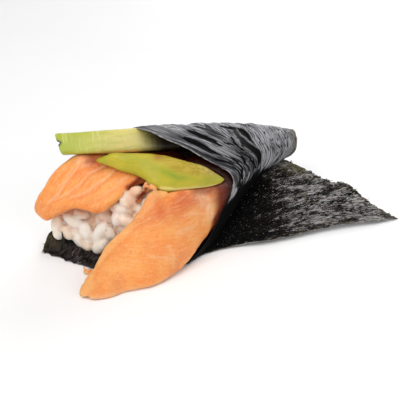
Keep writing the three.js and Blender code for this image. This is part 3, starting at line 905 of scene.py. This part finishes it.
def make_nori():
    cells_u, cells_v = SHEET_CELLS
    bpy.ops.mesh.primitive_grid_add(x_subdivisions=cells_u, y_subdivisions=cells_v, size=2)
    sheet = added("nori_wrapper")
    mesh = sheet.data
    spots = lay_sheet(mesh)
    creases = [crease(a, b, CREASE_LINES) for a, b, _, _ in spots]
    ridges = [crease(a, b, RIDGE_LINES) for a, b, _, _ in spots]
    press_sheet(mesh, spots, creases, ridges)
    layer = mesh.uv_layers.active
    layer.name = "fibres"
    for loop in mesh.loops:
        a, b, _, v = spots[loop.vertex_index]
        layer.data[loop.index].uv = Vector(fibre_place(a, b) if v > FLAP_SHARE else flap_grain(a, b)) * MM
    shades = [
        sheet_shades(spot, vertex.co / MM, dark, core)
        for vertex, spot, (_, dark), (_, core) in zip(mesh.vertices, spots, creases, ridges)
    ]
    for name in shades[0]:
        layer = mesh.attributes.new(name, "FLOAT", "POINT")
        layer.data.foreach_set("value", [shade[name] for shade in shades])
    for material in (nori_inside(), nori_outside(), nori_edge()):
        mesh.materials.append(material)
    finish_with(
        sheet, "SOLIDIFY", thickness=SHEET_THICK * MM, offset=0, use_even_offset=False,
        material_offset=1, material_offset_rim=2,
    )
    keep_above(sheet, 0)
    smooth(sheet)
    put_in_place(sheet, "nori", "nori_sheet")
    return sheet


# ---------------------------------------------------------------- slices and stick
def make_slice(node, name, cell, rounds, move, material, slot, reshape=None, cutter=None, **shades):
    """A slice or the stick, from its solid: one skin, moved along its normals, reshaped, cut and painted."""
    piece = traced(node, name)
    one_skin(piece, cell, rounds)
    shift_points(piece, move)
    if reshape:
        for vertex in piece.data.vertices:
            vertex.co = reshape(vertex.co / MM) * MM
    keep_above(piece, 0)
    if cutter:
        finish_with(piece, "BOOLEAN", operation="DIFFERENCE", object=cutter)
        bpy.data.objects.remove(cutter)
    paint(piece, **shades)
    piece.data.materials.append(material)
    smooth(piece)
    put_in_place(piece, slot, node)
    return piece


def under_wrap(place):
    """How far in under the sheet's mouth edge a place is, in mm."""
    local = place + TABLE_CENTRE - MOUTH_CENTRE
    along = local.dot(AXIS)
    middle = (through(TOP, along) + through(FOOT, along)) / 2
    angle = math.degrees(math.atan2(place.z - middle, local.dot(ACROSS)))
    if angle > -60:
        angle -= 360
    return along - through(MOUTH_EDGE, angle)


# ---- front salmon slice
FRONT_SIDE = points(  # where its cut side meets its face
    (-19.5, -24.5, 26.5), (-21.3, -25.5, 25.6), (-22.8, -28.0, 22.8), (-25.8, -29.3, 20.0),
    (-29.5, -30.6, 15.8), (-33.3, -31.5, 12.2), (-37.0, -33.0, 8.8), (-39.6, -35.7, 6.2), (-40.8, -39.8, 4.3),
    (-39.9, -42.6, 3.1),
)
FRONT_CORNER = Vector((-19.0, -22.5, 27.5))  # at its top left, under the avocado
FRONT_SIDE_FACING = Vector((-0.7, 0.6, 0.4))
FRONT_VEINS = [
    points((-17.8, -31.0, 10.5), (-16.6, -30.8, 7.8), (-15.9, -30.6, 4.2)),
    points((-15.5, -27.5, 14.0), (-11.5, -24.5, 13.2), (-8.6, -20.8, 13.4)),
    points((-12.0, -23.0, 18.5), (-8.4, -18.2, 16.4), (-5.8, -14.2, 13.6)),
    points((-24.5, -34.0, 9.0), (-19.6, -33.0, 8.2), (-16.8, -31.8, 6.4)),
]
UNDER_AVOCADO = marks((-9.4, 14.1), (-6.2, 14.1), (-3.0, 14.7))
# where a pale pink painted sheen lies on the front slice
FRONT_SHEEN = marks((-7.6, 12.6), (-5.2, 9.0), (-4.6, 5.6))
FRONT_FACING = Vector((0.5, -0.75, 0.43)).normalized()
FAN_FROM = Vector((-53.3, 0, -8.2))


def top_lowered(place):
    """A place on the front slice, with its top left corner pressed down under the avocado."""
    return place - Vector((0.2, 0.25, 1.0)) * (2.6 * by_spot(place, FRONT_CORNER, 3.4))


def front_side(place):
    """How far beyond the corner line a place is on the cut side, in mm."""
    _, spot, _ = near_line(place, FRONT_SIDE)
    return (place - spot).dot(FRONT_SIDE_FACING)


def salmon_front_form(place):
    side = front_side(place)
    full = 1.5 * step(side, 0.0, 1.4) * bump(place.z, 9, 7)
    lumpy = lumps(place, 0.09, 0.35) + lumps(place, 0.35, 0.14, 9) + lumps(place, 0.9, 0.05, 3)
    return lumpy + full - 0.3 * bump(side, -0.5, 0.7)


def fan_muscle(place):
    """Coordinates along and across the fibres of the front slice, which fan out to the right."""
    away = place - FAN_FROM
    up = away.dot(SEEN_UP)
    turned = math.degrees(math.atan2(up, away.x)) + 2.0 * noise.noise(place * 0.12)
    return Vector((math.hypot(up, away.x) * 0.16, turned * 0.75, noise.noise(place * 0.2)))


def front_fat(place):
    spot = swayed(place, 0.25, 1.4, 3)
    veins = 0.3 * max(bump(beside_line(spot, vein, FRONT_FACING), 0, 0.7) for vein in FRONT_VEINS)
    # painted sheen: a pale pink patch on the front slice, near the sheet's edge
    sheen = (0.45 + 0.5 * noise.noise(place * 0.5)) * by_drawing(place, FRONT_SHEEN, 2.2)
    low = (0.5 + 0.5 * noise.noise(place * 0.3)) * step(place.z, 2.2, 0.5)
    return max(veins, sheen, low)


def front_depth(place):
    """From 0 in the open to 1 at the sheet's edge, over a longer way higher up."""
    high = step(place.z, 7, 18)
    start = mix(-7, -14.5, high)
    return clamp01((under_wrap(place) - start) / (mix(0, -1, high) - start))


def front_red(place):
    top = step(place.z, 14, 22) * step(front_side(place), 0.3, -2.5)
    corner = 0.12 * bump(front_side(place), -0.6, 0.5)
    patch = 0.3 * step(noise.noise(place * 0.13), 0.0, 0.5)
    return 0.65 * top * (0.8 + 0.6 * noise.noise(place * 0.25)) + corner + patch


def front_shade(place):
    return max(front_depth(place), 0.3 * by_drawing(place, UNDER_AVOCADO, 1.6))


# ---- left salmon slice
LEFT_GROOVES = [
    points(
        (-58.4, -15.0, 15.5), (-56.7, -16.6, 18.9), (-53.2, -16.8, 22.7), (-50.8, -15.6, 25.9),
        (-48.4, -14.2, 28.4), (-46.3, -12.9, 29.7), (-42.5, -9.5, 31.2), (-38.0, -4.0, 31.6),
    ),
    points(
        (-55.1, -16.8, 20.6), (-49.5, -17.5, 23.0), (-46.1, -16.4, 25.7), (-43.5, -14.4, 28.3),
        (-40.8, -12.8, 28.9), (-36.5, -9.0, 30.4), (-32.0, -4.0, 30.8),
    ),
    points(
        (-48.8, -18.2, 21.8), (-42.9, -17.8, 23.7), (-39.4, -15.6, 26.4), (-37.1, -14.0, 27.5),
        (-33.0, -10.0, 29.0),
    ),
    points(
        (-43.7, -19.2, 20.1), (-39.3, -18.6, 22.7), (-35.7, -17.1, 24.4), (-32.7, -15.6, 26.3),
        (-29.0, -12.0, 27.6),
    ),
    points(
        (-58.9, -12.0, 19.0), (-55.2, -13.6, 24.2), (-51.6, -12.2, 27.6), (-47.6, -8.6, 30.0),
        (-43.0, -3.0, 31.0),
    ),
]
GROOVE_STRENGTH = [1.0, 0.9, 0.9, 0.6, 0.6]
LOBE = Vector((-45.3, -10.8, 30.8))
# where painted shade falls on the left slice under the stick, in red and in dark
RED_UNDER_STICK = Vector((-42.3, -10.2, 30.6))
SHADE_UNDER_STICK = Vector((-42.3, -10.2, 31.2))
# the left slice's end, darkened with painted shade
LEFT_END = marks((-31.0, 15.2), (-29.3, 16.2), (-27.2, 18.1))
LEFT_MUSCLE = Vector((0.5, 0.2, 0.84)).normalized()
LEFT_FACING = Vector((-0.1, -0.66, 0.74)).normalized()


def left_lines(place, width, shift=0.0):
    spot = swayed(place, 0.2, 0.5, 11) + Vector((0.6, -0.6, -0.6)) * shift
    return max(
        strength * bump(beside_line(spot, groove, LEFT_FACING), 0, width)
        for groove, strength in zip(LEFT_GROOVES, GROOVE_STRENGTH)
    )


def salmon_left_form(place):
    lobe = 0.7 * by_spot(place, LOBE, 1.9) + 1.0 * bump(place.x, -46, 4) * step(place.z, 27, 30)
    lumpy = 0.15 + lumps(place, 0.1, 0.25) + lumps(place, 0.4, 0.12, 17)
    return lumpy - 0.6 * left_lines(place, 0.7, -0.6) + lobe


def left_muscle(place):
    along = place.dot(LEFT_MUSCLE)
    side = place - LEFT_MUSCLE * along
    return Vector((side.x * 0.8, side.y * 0.8, along * 0.14))


def left_fat(place):
    return max(0.48 * left_lines(place, 0.3), 0.3 * by_spot(place, LOBE, 0.7, 2.2))


# Redder flesh with painted shade: a painted shadow beside each fat line, under the stick and on the end; also
# redder low down.
def left_red(place):
    grooves = 0.35 * left_lines(place, 0.6, -0.9)
    under_stick = by_spot(place, RED_UNDER_STICK, 4.2)
    low = 0.3 * step(place.z, 20.5, 17.5)
    return max(grooves, under_stick, by_drawing(place, LEFT_END, 1.1), low)


def left_shade(place):
    under_stick = 0.22 * by_spot(place, SHADE_UNDER_STICK, 2.6)
    depth = 0.9 * step(under_wrap(place), -6, 4) * step(place.z, 22, 26)
    return max(0.4 * by_drawing(place, LEFT_END, 0.8), under_stick, depth)


# ---- avocado slice
VEIN = points(
    (-33.0, -13.5, 33.6), (-26.9, -15.6, 33.5), (-23.1, -17.2, 32.1), (-19.0, -18.4, 30.6),
    (-14.4, -18.0, 28.4), (-9.7, -15.2, 26.5), (-3.3, -8.0, 23.6), (0.1, -2.3, 20.8),
)
LOWER_RIM = points(
    (-20.5, -21.1, 26.3), (-15.8, -19.6, 25.0), (-11.3, -16.9, 24.2), (-3.3, -8.1, 21.4), (0.3, -2.5, 19.6),
)
BRUISE = Vector((-21.3, -14.6, 34.4))
WEDGE_FACING = Vector((0.2, -0.76, 0.62)).normalized()
WEDGE_TIP = Vector((-39.6, -12.4, 34.2))


def tip_lowered(place):
    """A place on the avocado, with the top of its left tip pressed down and drawn out."""
    return place - Vector((0.7, 0.2, 1.5)) * by_spot(place, WEDGE_TIP, 2.6)


def avocado_form(place):
    return lumps(place, 0.12, 0.2) + lumps(place, 0.5, 0.06, 31) - 0.15 * avocado_green(place)


def avocado_green(place):
    spot = swayed(place, 0.2, 0.6, 5)
    strength = 0.2 + 0.6 * bump(near_line(spot, VEIN)[2], 0.52, 0.13)
    return bump(beside_line(spot, VEIN, WEDGE_FACING), 0, 1.0) * strength + 0.3 * step(place.x, -35, -39)


def avocado_ochre(place):
    _, spot, _ = near_line(swayed(place, 0.25, 0.6, 8), VEIN)
    return 0.9 * step((place - spot).dot(SEEN_UP), 0.2, 2.2) * step(place.x, -26, -16)


# a painted highlight along the avocado's lower rim
def avocado_rim(place):
    return 0.85 * bump(beside_line(place, LOWER_RIM, WEDGE_FACING), 0, 0.38)


# ---- cucumber stick
NOTCH = marks((-55.6, 30.9), (-52.1, 29.2), (-53.0, 27.9), (-55.6, 28.2))  # bitten out of its left end
NOTCH_SKIN = marks((-54.4, 30.4), (-53.2, 29.8), (-52.0, 29.2), (-52.9, 27.9), (-52.6, 26.6))
TOWARDS_FRONT = Vector((0, -0.9063, 0.4226))
STICK_MIDDLE = Vector((-53, -9, 36))
STICK_ALONG = Vector((0.93, 0.37, -0.15))
STICK_END = Vector((-52.4, -9.7, 37.1))
STICK_END_FACING = Vector((-0.88, -0.45, -0.17))
STICK_FRONT = Vector((-50.3, -11.5, 36.8))
STICK_FRONT_FACING = Vector((0.33, -0.85, 0.42))


def notch_cutter():
    """A wedge that cuts the notch, from front to back."""
    bpy.ops.mesh.primitive_cylinder_add(vertices=len(NOTCH), radius=1, depth=2)
    wedge = added("notch_cutter")
    for number, vertex in enumerate(wedge.data.vertices):
        corner = NOTCH[number // 2]
        middle = Vector((corner.x, 0, 0)) + SEEN_UP * corner.y
        reach = STICK_MIDDLE.dot(TOWARDS_FRONT) + math.copysign(12, vertex.co.z)
        vertex.co = (middle + TOWARDS_FRONT * reach) * MM
    edit(wedge)
    bpy.ops.mesh.normals_make_consistent(inside=False)
    close_edit()
    return wedge


def end_squared(place):
    """A place on the stick, moved out at its left end so that the cut runs straight back."""
    inside = -(place - STICK_END).dot(STICK_END_FACING)
    behind = -(place - STICK_FRONT).dot(STICK_FRONT_FACING)
    return place - STICK_ALONG * (1.5 * clamp01(1 - behind / 3.8)) * step(inside, 6, 0)


def cucumber_form(place):
    return lumps(place, 0.25, 0.08) + lumps(place, 0.9, 0.04, 41)


def cucumber_skin(place):
    return 1.3 * by_drawing(place, NOTCH_SKIN, 0.42) * step(place.x, -51, -52)


# ---------------------------------------------------------------- rice
GRAIN_LENGTH = 6.8
GRAIN_WIDTH = 3.8
GRAIN_FLATNESS = 0.84
GRAIN_TRIES = 5000
# Four grains to choose from: (bend in degrees, taper, size).
GRAIN_KINDS = [(14, 0.12, 1.0), (26, -0.15, 0.94), (8, 0.2, 1.06), (34, 0.05, 0.9)]
# Grains that lie uppermost at the mouth: (one end, the other end, width in mm, whiteness from 0 to 1).
TOP_GRAINS = [
    ((-52.3, -12.0, 12.8), (-46.8, -13.4, 9.3), 3.3, 0.8),
    ((-45.9, -13.6, 10.9), (-44.2, -16.3, 5.8), 3.7, 0.8),
    ((-49.4, -13.2, 7.6), (-46.0, -15.5, 3.2), 3.1, 0.5),
    ((-54.9, -11.4, 12.4), (-55.1, -12.3, 5.8), 3.6, 0.5),
    ((-52.9, -13.3, 8.9), (-49.9, -14.6, 5.4), 3.0, 0.2),
    ((-38.3, -17.3, 12.7), (-42.2, -16.2, 4.9), 3.7, 1.0),
    ((-38.4, -18.0, 6.4), (-42.2, -17.0, 2.0), 3.3, 0.6),
    ((-34.9, -16.9, 16.6), (-34.5, -17.9, 11.0), 3.3, 0.8),
    ((-40.2, -14.6, 14.8), (-36.5, -15.5, 12.6), 2.7, 0.8),
    ((-37.4, -14.6, 17.6), (-30.4, -18.2, 17.2), 3.6, 0.7),
    ((-33.6, -18.4, 14.7), (-29.6, -19.5, 12.9), 2.8, 0.6),
    ((-33.3, -16.8, 21.3), (-30.1, -18.4, 18.4), 3.1, 0.3),
    ((-38.7, -16.8, 10.6), (-35.9, -18.4, 7.9), 3.0, 0.6),
    ((-48.9, -12.2, 14.2), (-44.2, -13.2, 12.6), 3.0, 0.5),
    ((-46.4, -14.8, 4.6), (-43.6, -17.2, 3.2), 2.8, 0.1),
    ((-32.0, -16.4, 23.0), (-27.8, -18.6, 19.3), 3.5, 0.25),
    ((-55.6, -12.2, 7.4), (-53.6, -13.0, 4.6), 2.8, 0.6),
    ((-30.0, -17.2, 22.9), (-26.2, -18.4, 24.6), 3.1, 0.1),
]
MOUTH_FACING = Vector((-0.35, -0.88, 0.32))  # out of the rice, at the mouth
# Where orange light off the salmon is painted onto the rice: (line, strength, half width in mm).
WARM_LINES = [
    (marks((-54.0, 7.0), (-50.0, 8.2), (-46.0, 7.0), (-42.0, 5.2), (-38.5, 5.6), (-36.0, 8.2)), 0.55, 1.6),
    (marks((-29.2, 11.0), (-29.2, 14.2), (-26.2, 16.2)), 0.6, 2.4),
    (marks((-33.6, 2.0), (-30.6, 6.2), (-27.6, 10.8)), 0.4, 1.5),
]
RICE_SPECKS = marks((-34.6, 2.8), (-38.1, -2.7), (-38.1, 1.5), (-37.2, -2.2))
OPEN_TO = 24  # the rice shows up to here along the roll
END_FROM = 56  # and from here on, at the narrow end


def make_grain(index, bend, taper, size):
    """One grain along X, plump, tapered towards one end and a little bent."""
    bpy.ops.mesh.primitive_uv_sphere_add(segments=16, ring_count=12, radius=0.5 * MM)
    grain = added(f"grain_{index}")
    edit(grain)
    bpy.ops.transform.rotate(value=math.pi / 2, orient_axis="Y", center_override=(0, 0, 0))
    bpy.ops.transform.resize(
        value=(GRAIN_LENGTH * size, GRAIN_WIDTH * size, GRAIN_WIDTH * GRAIN_FLATNESS * size),
    )
    close_edit()
    finish_with(grain, "SIMPLE_DEFORM", deform_method="TAPER", factor=taper, deform_axis="X")
    finish_with(grain, "SIMPLE_DEFORM", deform_method="BEND", angle=math.radians(bend), deform_axis="Z")
    return grain


def grip_of(centre, along, up, length=1.0, width=1.0):
    """Where a grain goes: its centre, the way it points and the way its flat side faces."""
    along = along.normalized()
    up = (up - along * up.dot(along)).normalized()
    wide = up.cross(along)
    grip = Matrix((along * length, wide * width, up * width)).transposed().to_4x4()
    grip.translation = centre
    return grip


def shows(place, normal):
    """Whether the rice is bare at a place in mm: at the mouth, or at the narrow end."""
    along = (place + TABLE_CENTRE - MOUTH_CENTRE).dot(AXIS)
    hidden = place.z > 22 and under_wrap(place) > -3
    return (along < OPEN_TO and not hidden) or (along > END_FROM and normal.dot(AXIS) > 0.6)


def scatter(core, kinds, spacing, sink, seed, blockers, taken=()):
    """Grains lying on the core, no two closer than the spacing, clear of the other pieces."""
    random.seed(seed)
    faces = [face for face in core.data.polygons if shows(face.center / MM, face.normal)]
    placed = list(taken)
    grains = []
    for face in random.choices(faces, weights=[face.area for face in faces], k=GRAIN_TRIES):
        turn = random.random() * 2 * math.pi
        tilt = random.uniform(-0.35, 0.35)
        kind = random.choice(kinds)
        size = random.uniform(0.9, 1.06)
        if any((face.center - other).length < spacing * MM for other in placed):
            continue
        side = face.normal.orthogonal().normalized()
        along = Matrix.Rotation(turn, 3, face.normal) @ side + face.normal * tilt
        grip = grip_of(face.center - face.normal * (sink * MM), along, face.normal, size, size)
        if not clear_of(kind, grip, blockers):
            continue
        placed.append(face.center.copy())
        grains.append((kind, grip))
    return grains


def clear_of(kind, grip, blockers):
    """Whether no point of a grain is inside or beyond one of the pieces, or below the table."""
    centre = grip.translation
    for vertex in list(kind.data.vertices)[::3]:
        place = grip @ vertex.co
        if place.z < 0.45 * MM:
            return False
        reach = place - centre
        for tree in blockers:
            spot, normal, _, distance = tree.find_nearest(place)
            if distance < 6 * MM and (place - spot).dot(normal) < 0:
                return False
            if tree.ray_cast(centre, reach, reach.length)[0] is not None:
                return False
    return True


def join_grains(grains, name, material):
    """One heap, its grains stuck together where they touch."""
    parts = []
    for kind, grip in grains:
        parts.append(put_out("grain", kind.data.copy()))
        parts[-1].data.transform(grip)
    heap = join_parts(parts, name)
    one_skin(heap, 0.39, 2)
    heap.data.materials.clear()
    heap.data.materials.append(material)
    smooth(heap)
    return heap


def tones_of(grains, first):
    """A function of place that gives the nearest grain's tone; the first grains have tones of their own."""
    random.seed(5)
    near = KDTree(3 * len(grains))
    for number, (_, grip) in enumerate(grains):
        for along in (-2, 0, 2):
            near.insert(grip @ Vector((along * MM, 0, 0)) / MM, number)
    near.balance()
    tones = first + [random.random() for _ in grains[len(first):]]
    return lambda place: tones[near.find(place)[1]]


def tree_of(piece):
    return BVHTree.FromObject(piece, bpy.context.evaluated_depsgraph_get())


# painted shade deep under the sheet, and small dark specks that the rice has
def rice_shade(place):
    speck = max(by_spot(drawn(place), mark, 0.22) for mark in RICE_SPECKS)
    return max(step(under_wrap(place), -4, 1) * step(place.z, 18, 24), 0.7 * speck)


def rice_warmth(place):
    """How much orange light off the salmon beside it is painted onto the rice."""
    return max(strength * by_drawing(place, line, width) for line, strength, width in WARM_LINES)


def top_grains(kinds):
    """The grains that lie uppermost at the mouth, each placed by its two ends."""
    grains = []
    for number, (start, end, width, _) in enumerate(TOP_GRAINS):
        start, end = points(start, end)
        centre = (start + end) / 2 + MOUTH_FACING * 0.2
        length = ((end - start).length + 0.8) / GRAIN_LENGTH
        grip = grip_of(centre * MM, end - start, MOUTH_FACING, length, 1.22 * width / GRAIN_WIDTH)
        grains.append((kinds[number % len(kinds)], grip))
    return grains


def make_rice(toppings):
    core = traced("rice_filling", "rice_core")
    one_skin(core, 0.9, 14)
    kinds = [make_grain(i, *form) for i, form in enumerate(GRAIN_KINDS)]
    blockers = [tree_of(piece) for piece in toppings]
    top = top_grains(kinds)
    taken = [
        Vector(start).lerp(Vector(end), t) * MM for start, end, _, _ in TOP_GRAINS for t in (0.1, 0.5, 0.9)
    ]
    over = scatter(core, kinds, 4.0, 0.8, 12, blockers, taken)
    under = scatter(core, kinds, 3.3, 2.0, 11, blockers)
    heap = join_grains(top + over + under, "rice_grains", rice_grain())
    shift_points(core, lambda place: -1.2 + lumps(place, 0.45, 0.4))
    for vertex in core.data.vertices:
        raised = curl(vertex.co.x / MM, vertex.co.y / MM) * step(vertex.co.x / MM, -34, -38)
        vertex.co.z = max(vertex.co.z, (raised + 0.6) * MM)
    core.data.materials.append(rice_heart())
    tones = tones_of(top + over + under, [whiteness for _, _, _, whiteness in TOP_GRAINS])
    paint(heap, tone=tones, shade=rice_shade, warm=rice_warmth)
    paint(core, shade=rice_shade, warm=rice_warmth)
    smooth(core)
    for kind in kinds:
        bpy.data.objects.remove(kind)
    put_in_place(heap, "rice", "rice_filling")
    put_in_place(core, "rice")


# ---------------------------------------------------------------- scraps and shreds
# Bits of salmon torn off the slices: (one end, the other end, width), in mm.
SCRAPS = [
    ((-27.8, -19.2, 20.8), (-26.5, -19.9, 23.2), 1.5), ((-26.8, -19.8, 22.9), (-24.9, -19.6, 25.0), 1.5),
    ((-25.0, -19.7, 24.8), (-23.4, -20.2, 26.6), 1.6), ((-23.8, -20.2, 26.5), (-22.2, -21.6, 26.6), 1.6),
    ((-22.4, -21.7, 26.6), (-21.6, -23.2, 25.3), 1.4), ((-25.5, -19.4, 25.2), (-24.9, -19.2, 27.0), 1.3),
    ((-42.0, -29.5, 1.4), (-44.2, -28.6, 1.0), 1.4), ((-44.0, -28.7, 1.2), (-44.5, -28.3, 1.9), 0.8),
]
# where painted shade darkens the scraps
DARK_SCRAP = marks((-28.3, 11.0), (-26.2, 13.0), (-24.9, 14.5))
ON_SIDE = Matrix.Rotation(math.pi / 2, 4, "Y")  # lays what stands along Z along X
SHREDS = 64
# Where the first of the shreds stand along the loose edge, as shares of the sheet; these are longer tufts.
TUFTS = [0.225, 0.22, 0.214, 0.187, 0.183, 0.178, 0.172, 0.15, 0.147, 0.11, 0.08]
# Torn points of the sheet: (root, tip, width), in mm.
TORN_POINTS = [
    ((-56.4, -9.9, 2.6), (-56.9, -9.4, 5.6), 2.2), ((-52.0, -15.8, 2.2), (-52.9, -15.4, 8.4), 1.9),
    ((-58.0, -13.5, 0.6), (-60.3, -14.8, 0.4), 1.8), ((-58.2, -12.6, 1.2), (-60.0, -11.8, 2.2), 1.4),
    ((-53.6, -12.4, 4.0), (-55.3, -11.9, 4.3), 0.5), ((-57.6, -11.6, 1.6), (-58.2, -11.0, 3.0), 0.8),
]


def make_scraps(material):
    parts = []
    for start, end, width in SCRAPS:
        start, end = points(start, end)
        run = end - start
        bpy.ops.mesh.primitive_uv_sphere_add(segments=14, ring_count=10, radius=0.5 * MM)
        parts.append(added("scrap"))
        grip = grip_of((start + end) / 2 * MM, run, Vector((0, -0.5, 0.8)), run.length + width, width)
        parts[-1].data.transform(grip @ ON_SIDE)
    scraps = join_parts(parts, "salmon_scraps")
    one_skin(scraps, 0.18, 3)
    shift_points(scraps, lambda place: lumps(place, 1.1, 0.3) + lumps(place, 2.6, 0.12, 7))
    paint(
        scraps, muscle=lambda place: place * 0.8, side=lambda place: 0.0, fat=lambda place: 0.15,
        red=lambda place: 0.3 + lumps(place, 0.6, 0.6),
        shade=lambda place: 0.5 * by_drawing(place, DARK_SCRAP, 0.8) + lumps(place, 1.2, 0.3, 3),
    )
    scraps.data.materials.append(material)
    smooth(scraps)
    put_in_place(scraps, "salmon")
    return scraps


def make_shred(root, tip, width):
    """One torn point of the sheet, thin and narrowing from its root."""
    bpy.ops.mesh.primitive_cone_add(vertices=6, radius1=0.5 * MM, radius2=0.08 * MM, depth=MM)
    shred = added("shred")
    run = tip - root
    grip = grip_of((root + tip) / 2 * MM, run, Vector((0, 0.3, 1)))
    shred.data.transform(grip @ Matrix.Diagonal((run.length, width, 0.28, 1)) @ ON_SIDE)
    return shred


def make_shreds(material):
    """Frayed bits along the loose edge, and the torn points of the tongue."""
    random.seed(21)
    parts = [make_shred(Vector(root), Vector(tip), width) for root, tip, width in TORN_POINTS]
    for number in range(SHREDS):
        tuft = number < len(TUFTS)
        v = TUFTS[number] if tuft else random.uniform(0.015, 0.28)
        start, _ = sheet_point(0.975, v)
        edge, _ = sheet_point(1.0, v)
        out = (edge - start).normalized()
        length = random.uniform(1.2, 1.9) if tuft else random.uniform(0.4, 1.1)
        turn = Matrix.Rotation(random.uniform(-1.2, 1.2), 3, "Z")
        rise = Vector((0, 0, random.uniform(-0.2, 0.5)))
        root = edge - TABLE_CENTRE - out * 0.5 + Vector((0, 0, 0.35))
        parts.append(make_shred(root, root + (turn @ out + rise) * length, random.uniform(0.6, 1.3)))
    shreds = join_parts(parts, "nori_shreds")
    keep_above(shreds, 0.05)
    paint(shreds, edge=lambda place: lumps(place, 0.3, 0.6), frost=lambda place: 0.6)
    uv = shreds.data.uv_layers.active or shreds.data.uv_layers.new()
    uv.name = "fibres"
    shreds.data.materials.clear()
    shreds.data.materials.append(material)
    put_in_place(shreds, "nori")


# ---------------------------------------------------------------- table, light and camera
LOOK_AT = Vector((0, 0, 18)) - TABLE_CENTRE
CAMERA_TILT = math.radians(25)  # down from level
CAMERA_AWAY = 304.66
LENS = 85
LIGHT_AT = Vector((0, 0, 0.02))  # metres, as the lamps' places and sizes are


def make_camera():
    data = bpy.data.cameras.new("camera")
    data.lens = LENS
    data.sensor_width = 36
    data.clip_start = 0.01
    data.clip_end = 20
    camera = put_out("camera", data)
    forward = Vector((0, math.cos(CAMERA_TILT), -math.sin(CAMERA_TILT)))
    camera.location = (LOOK_AT - forward * CAMERA_AWAY) * MM
    camera.rotation_euler = (math.pi / 2 - CAMERA_TILT, 0, 0)
    bpy.context.scene.camera = camera


def make_table():
    bpy.ops.mesh.primitive_circle_add(vertices=96, radius=3, fill_type="NGON", location=(0, 0, 0))
    table = added("table")
    table.data.transform(Matrix.Translation((0, 0, -0.02 * MM)))
    finish = Finish("table_white", 0.7, 0.2)
    finish.colour(finish.blend(finish.noise(0.02, 2, 0.5), (0.92, 0.92, 0.92), (0.95, 0.95, 0.95)))
    table.data.materials.append(finish.material)


def make_lamp(name, place, size, watts):
    data = bpy.data.lights.new(name, "AREA")
    data.shape = "RECTANGLE"
    data.size, data.size_y = size
    data.energy = watts
    lamp = put_out(name, data)
    lamp.location = place
    lamp.rotation_euler = (LIGHT_AT - Vector(place)).to_track_quat("-Z", "Y").to_euler()


def make_light():
    make_lamp("key", (-0.3, -0.5, 0.55), (0.5, 0.5), 3.05)
    make_lamp("fill", (0.5, -0.55, 0.35), (0.6, 0.4), 1.6)
    make_lamp("top", (-0.1, -0.05, 0.7), (0.5, 0.5), 1.6)
    make_lamp("back", (0.45, 0.8, 0.3), (1.2, 0.45), 7)
    world = bpy.data.worlds.new("studio")
    world.use_nodes = True
    sky = world.node_tree.nodes["Background"]
    sky.inputs["Color"].default_value = (1, 1, 1, 1)
    sky.inputs["Strength"].default_value = 0.3
    bpy.context.scene.world = world
    bpy.context.scene.view_settings.view_transform = "Standard"


# ---------------------------------------------------------------- the roll
make_camera()
make_table()
make_light()

nori = make_nori()
flesh = salmon()
front = make_slice(
    "salmon_slice_front", "salmon_front", 0.5, 14, salmon_front_form, flesh, "salmon",
    reshape=top_lowered, muscle=fan_muscle, fat=front_fat, red=front_red, shade=front_shade,
    side=lambda place: step(front_side(place), -0.5, 0.5),
)
left = make_slice(
    "salmon_slice_left", "salmon_left", 0.45, 12, salmon_left_form, flesh, "salmon",
    muscle=left_muscle, fat=left_fat, red=left_red, side=lambda place: 0.0, shade=left_shade,
)
wedge = make_slice(
    "avocado_slice", "avocado_wedge", 0.45, 12, avocado_form, avocado(), "avocado",
    reshape=tip_lowered, green=avocado_green, ochre=avocado_ochre, rim=avocado_rim,
    bruise=lambda place: 0.8 * by_spot(place, BRUISE, 1.5),
    shade=lambda place: 0.8 * step(under_wrap(place), 0, 6),
)
baton = make_slice(
    "cucumber_stick", "cucumber_baton", 0.4, 5, cucumber_form, cucumber(), "cucumber",
    reshape=end_squared, cutter=notch_cutter(), skin=cucumber_skin,
    shade=lambda place: step(under_wrap(place), -2.5, 7),
)
scraps = make_scraps(flesh)
make_shreds(nori.data.materials[0])
make_rice([nori, front, left, wedge, baton, scraps])
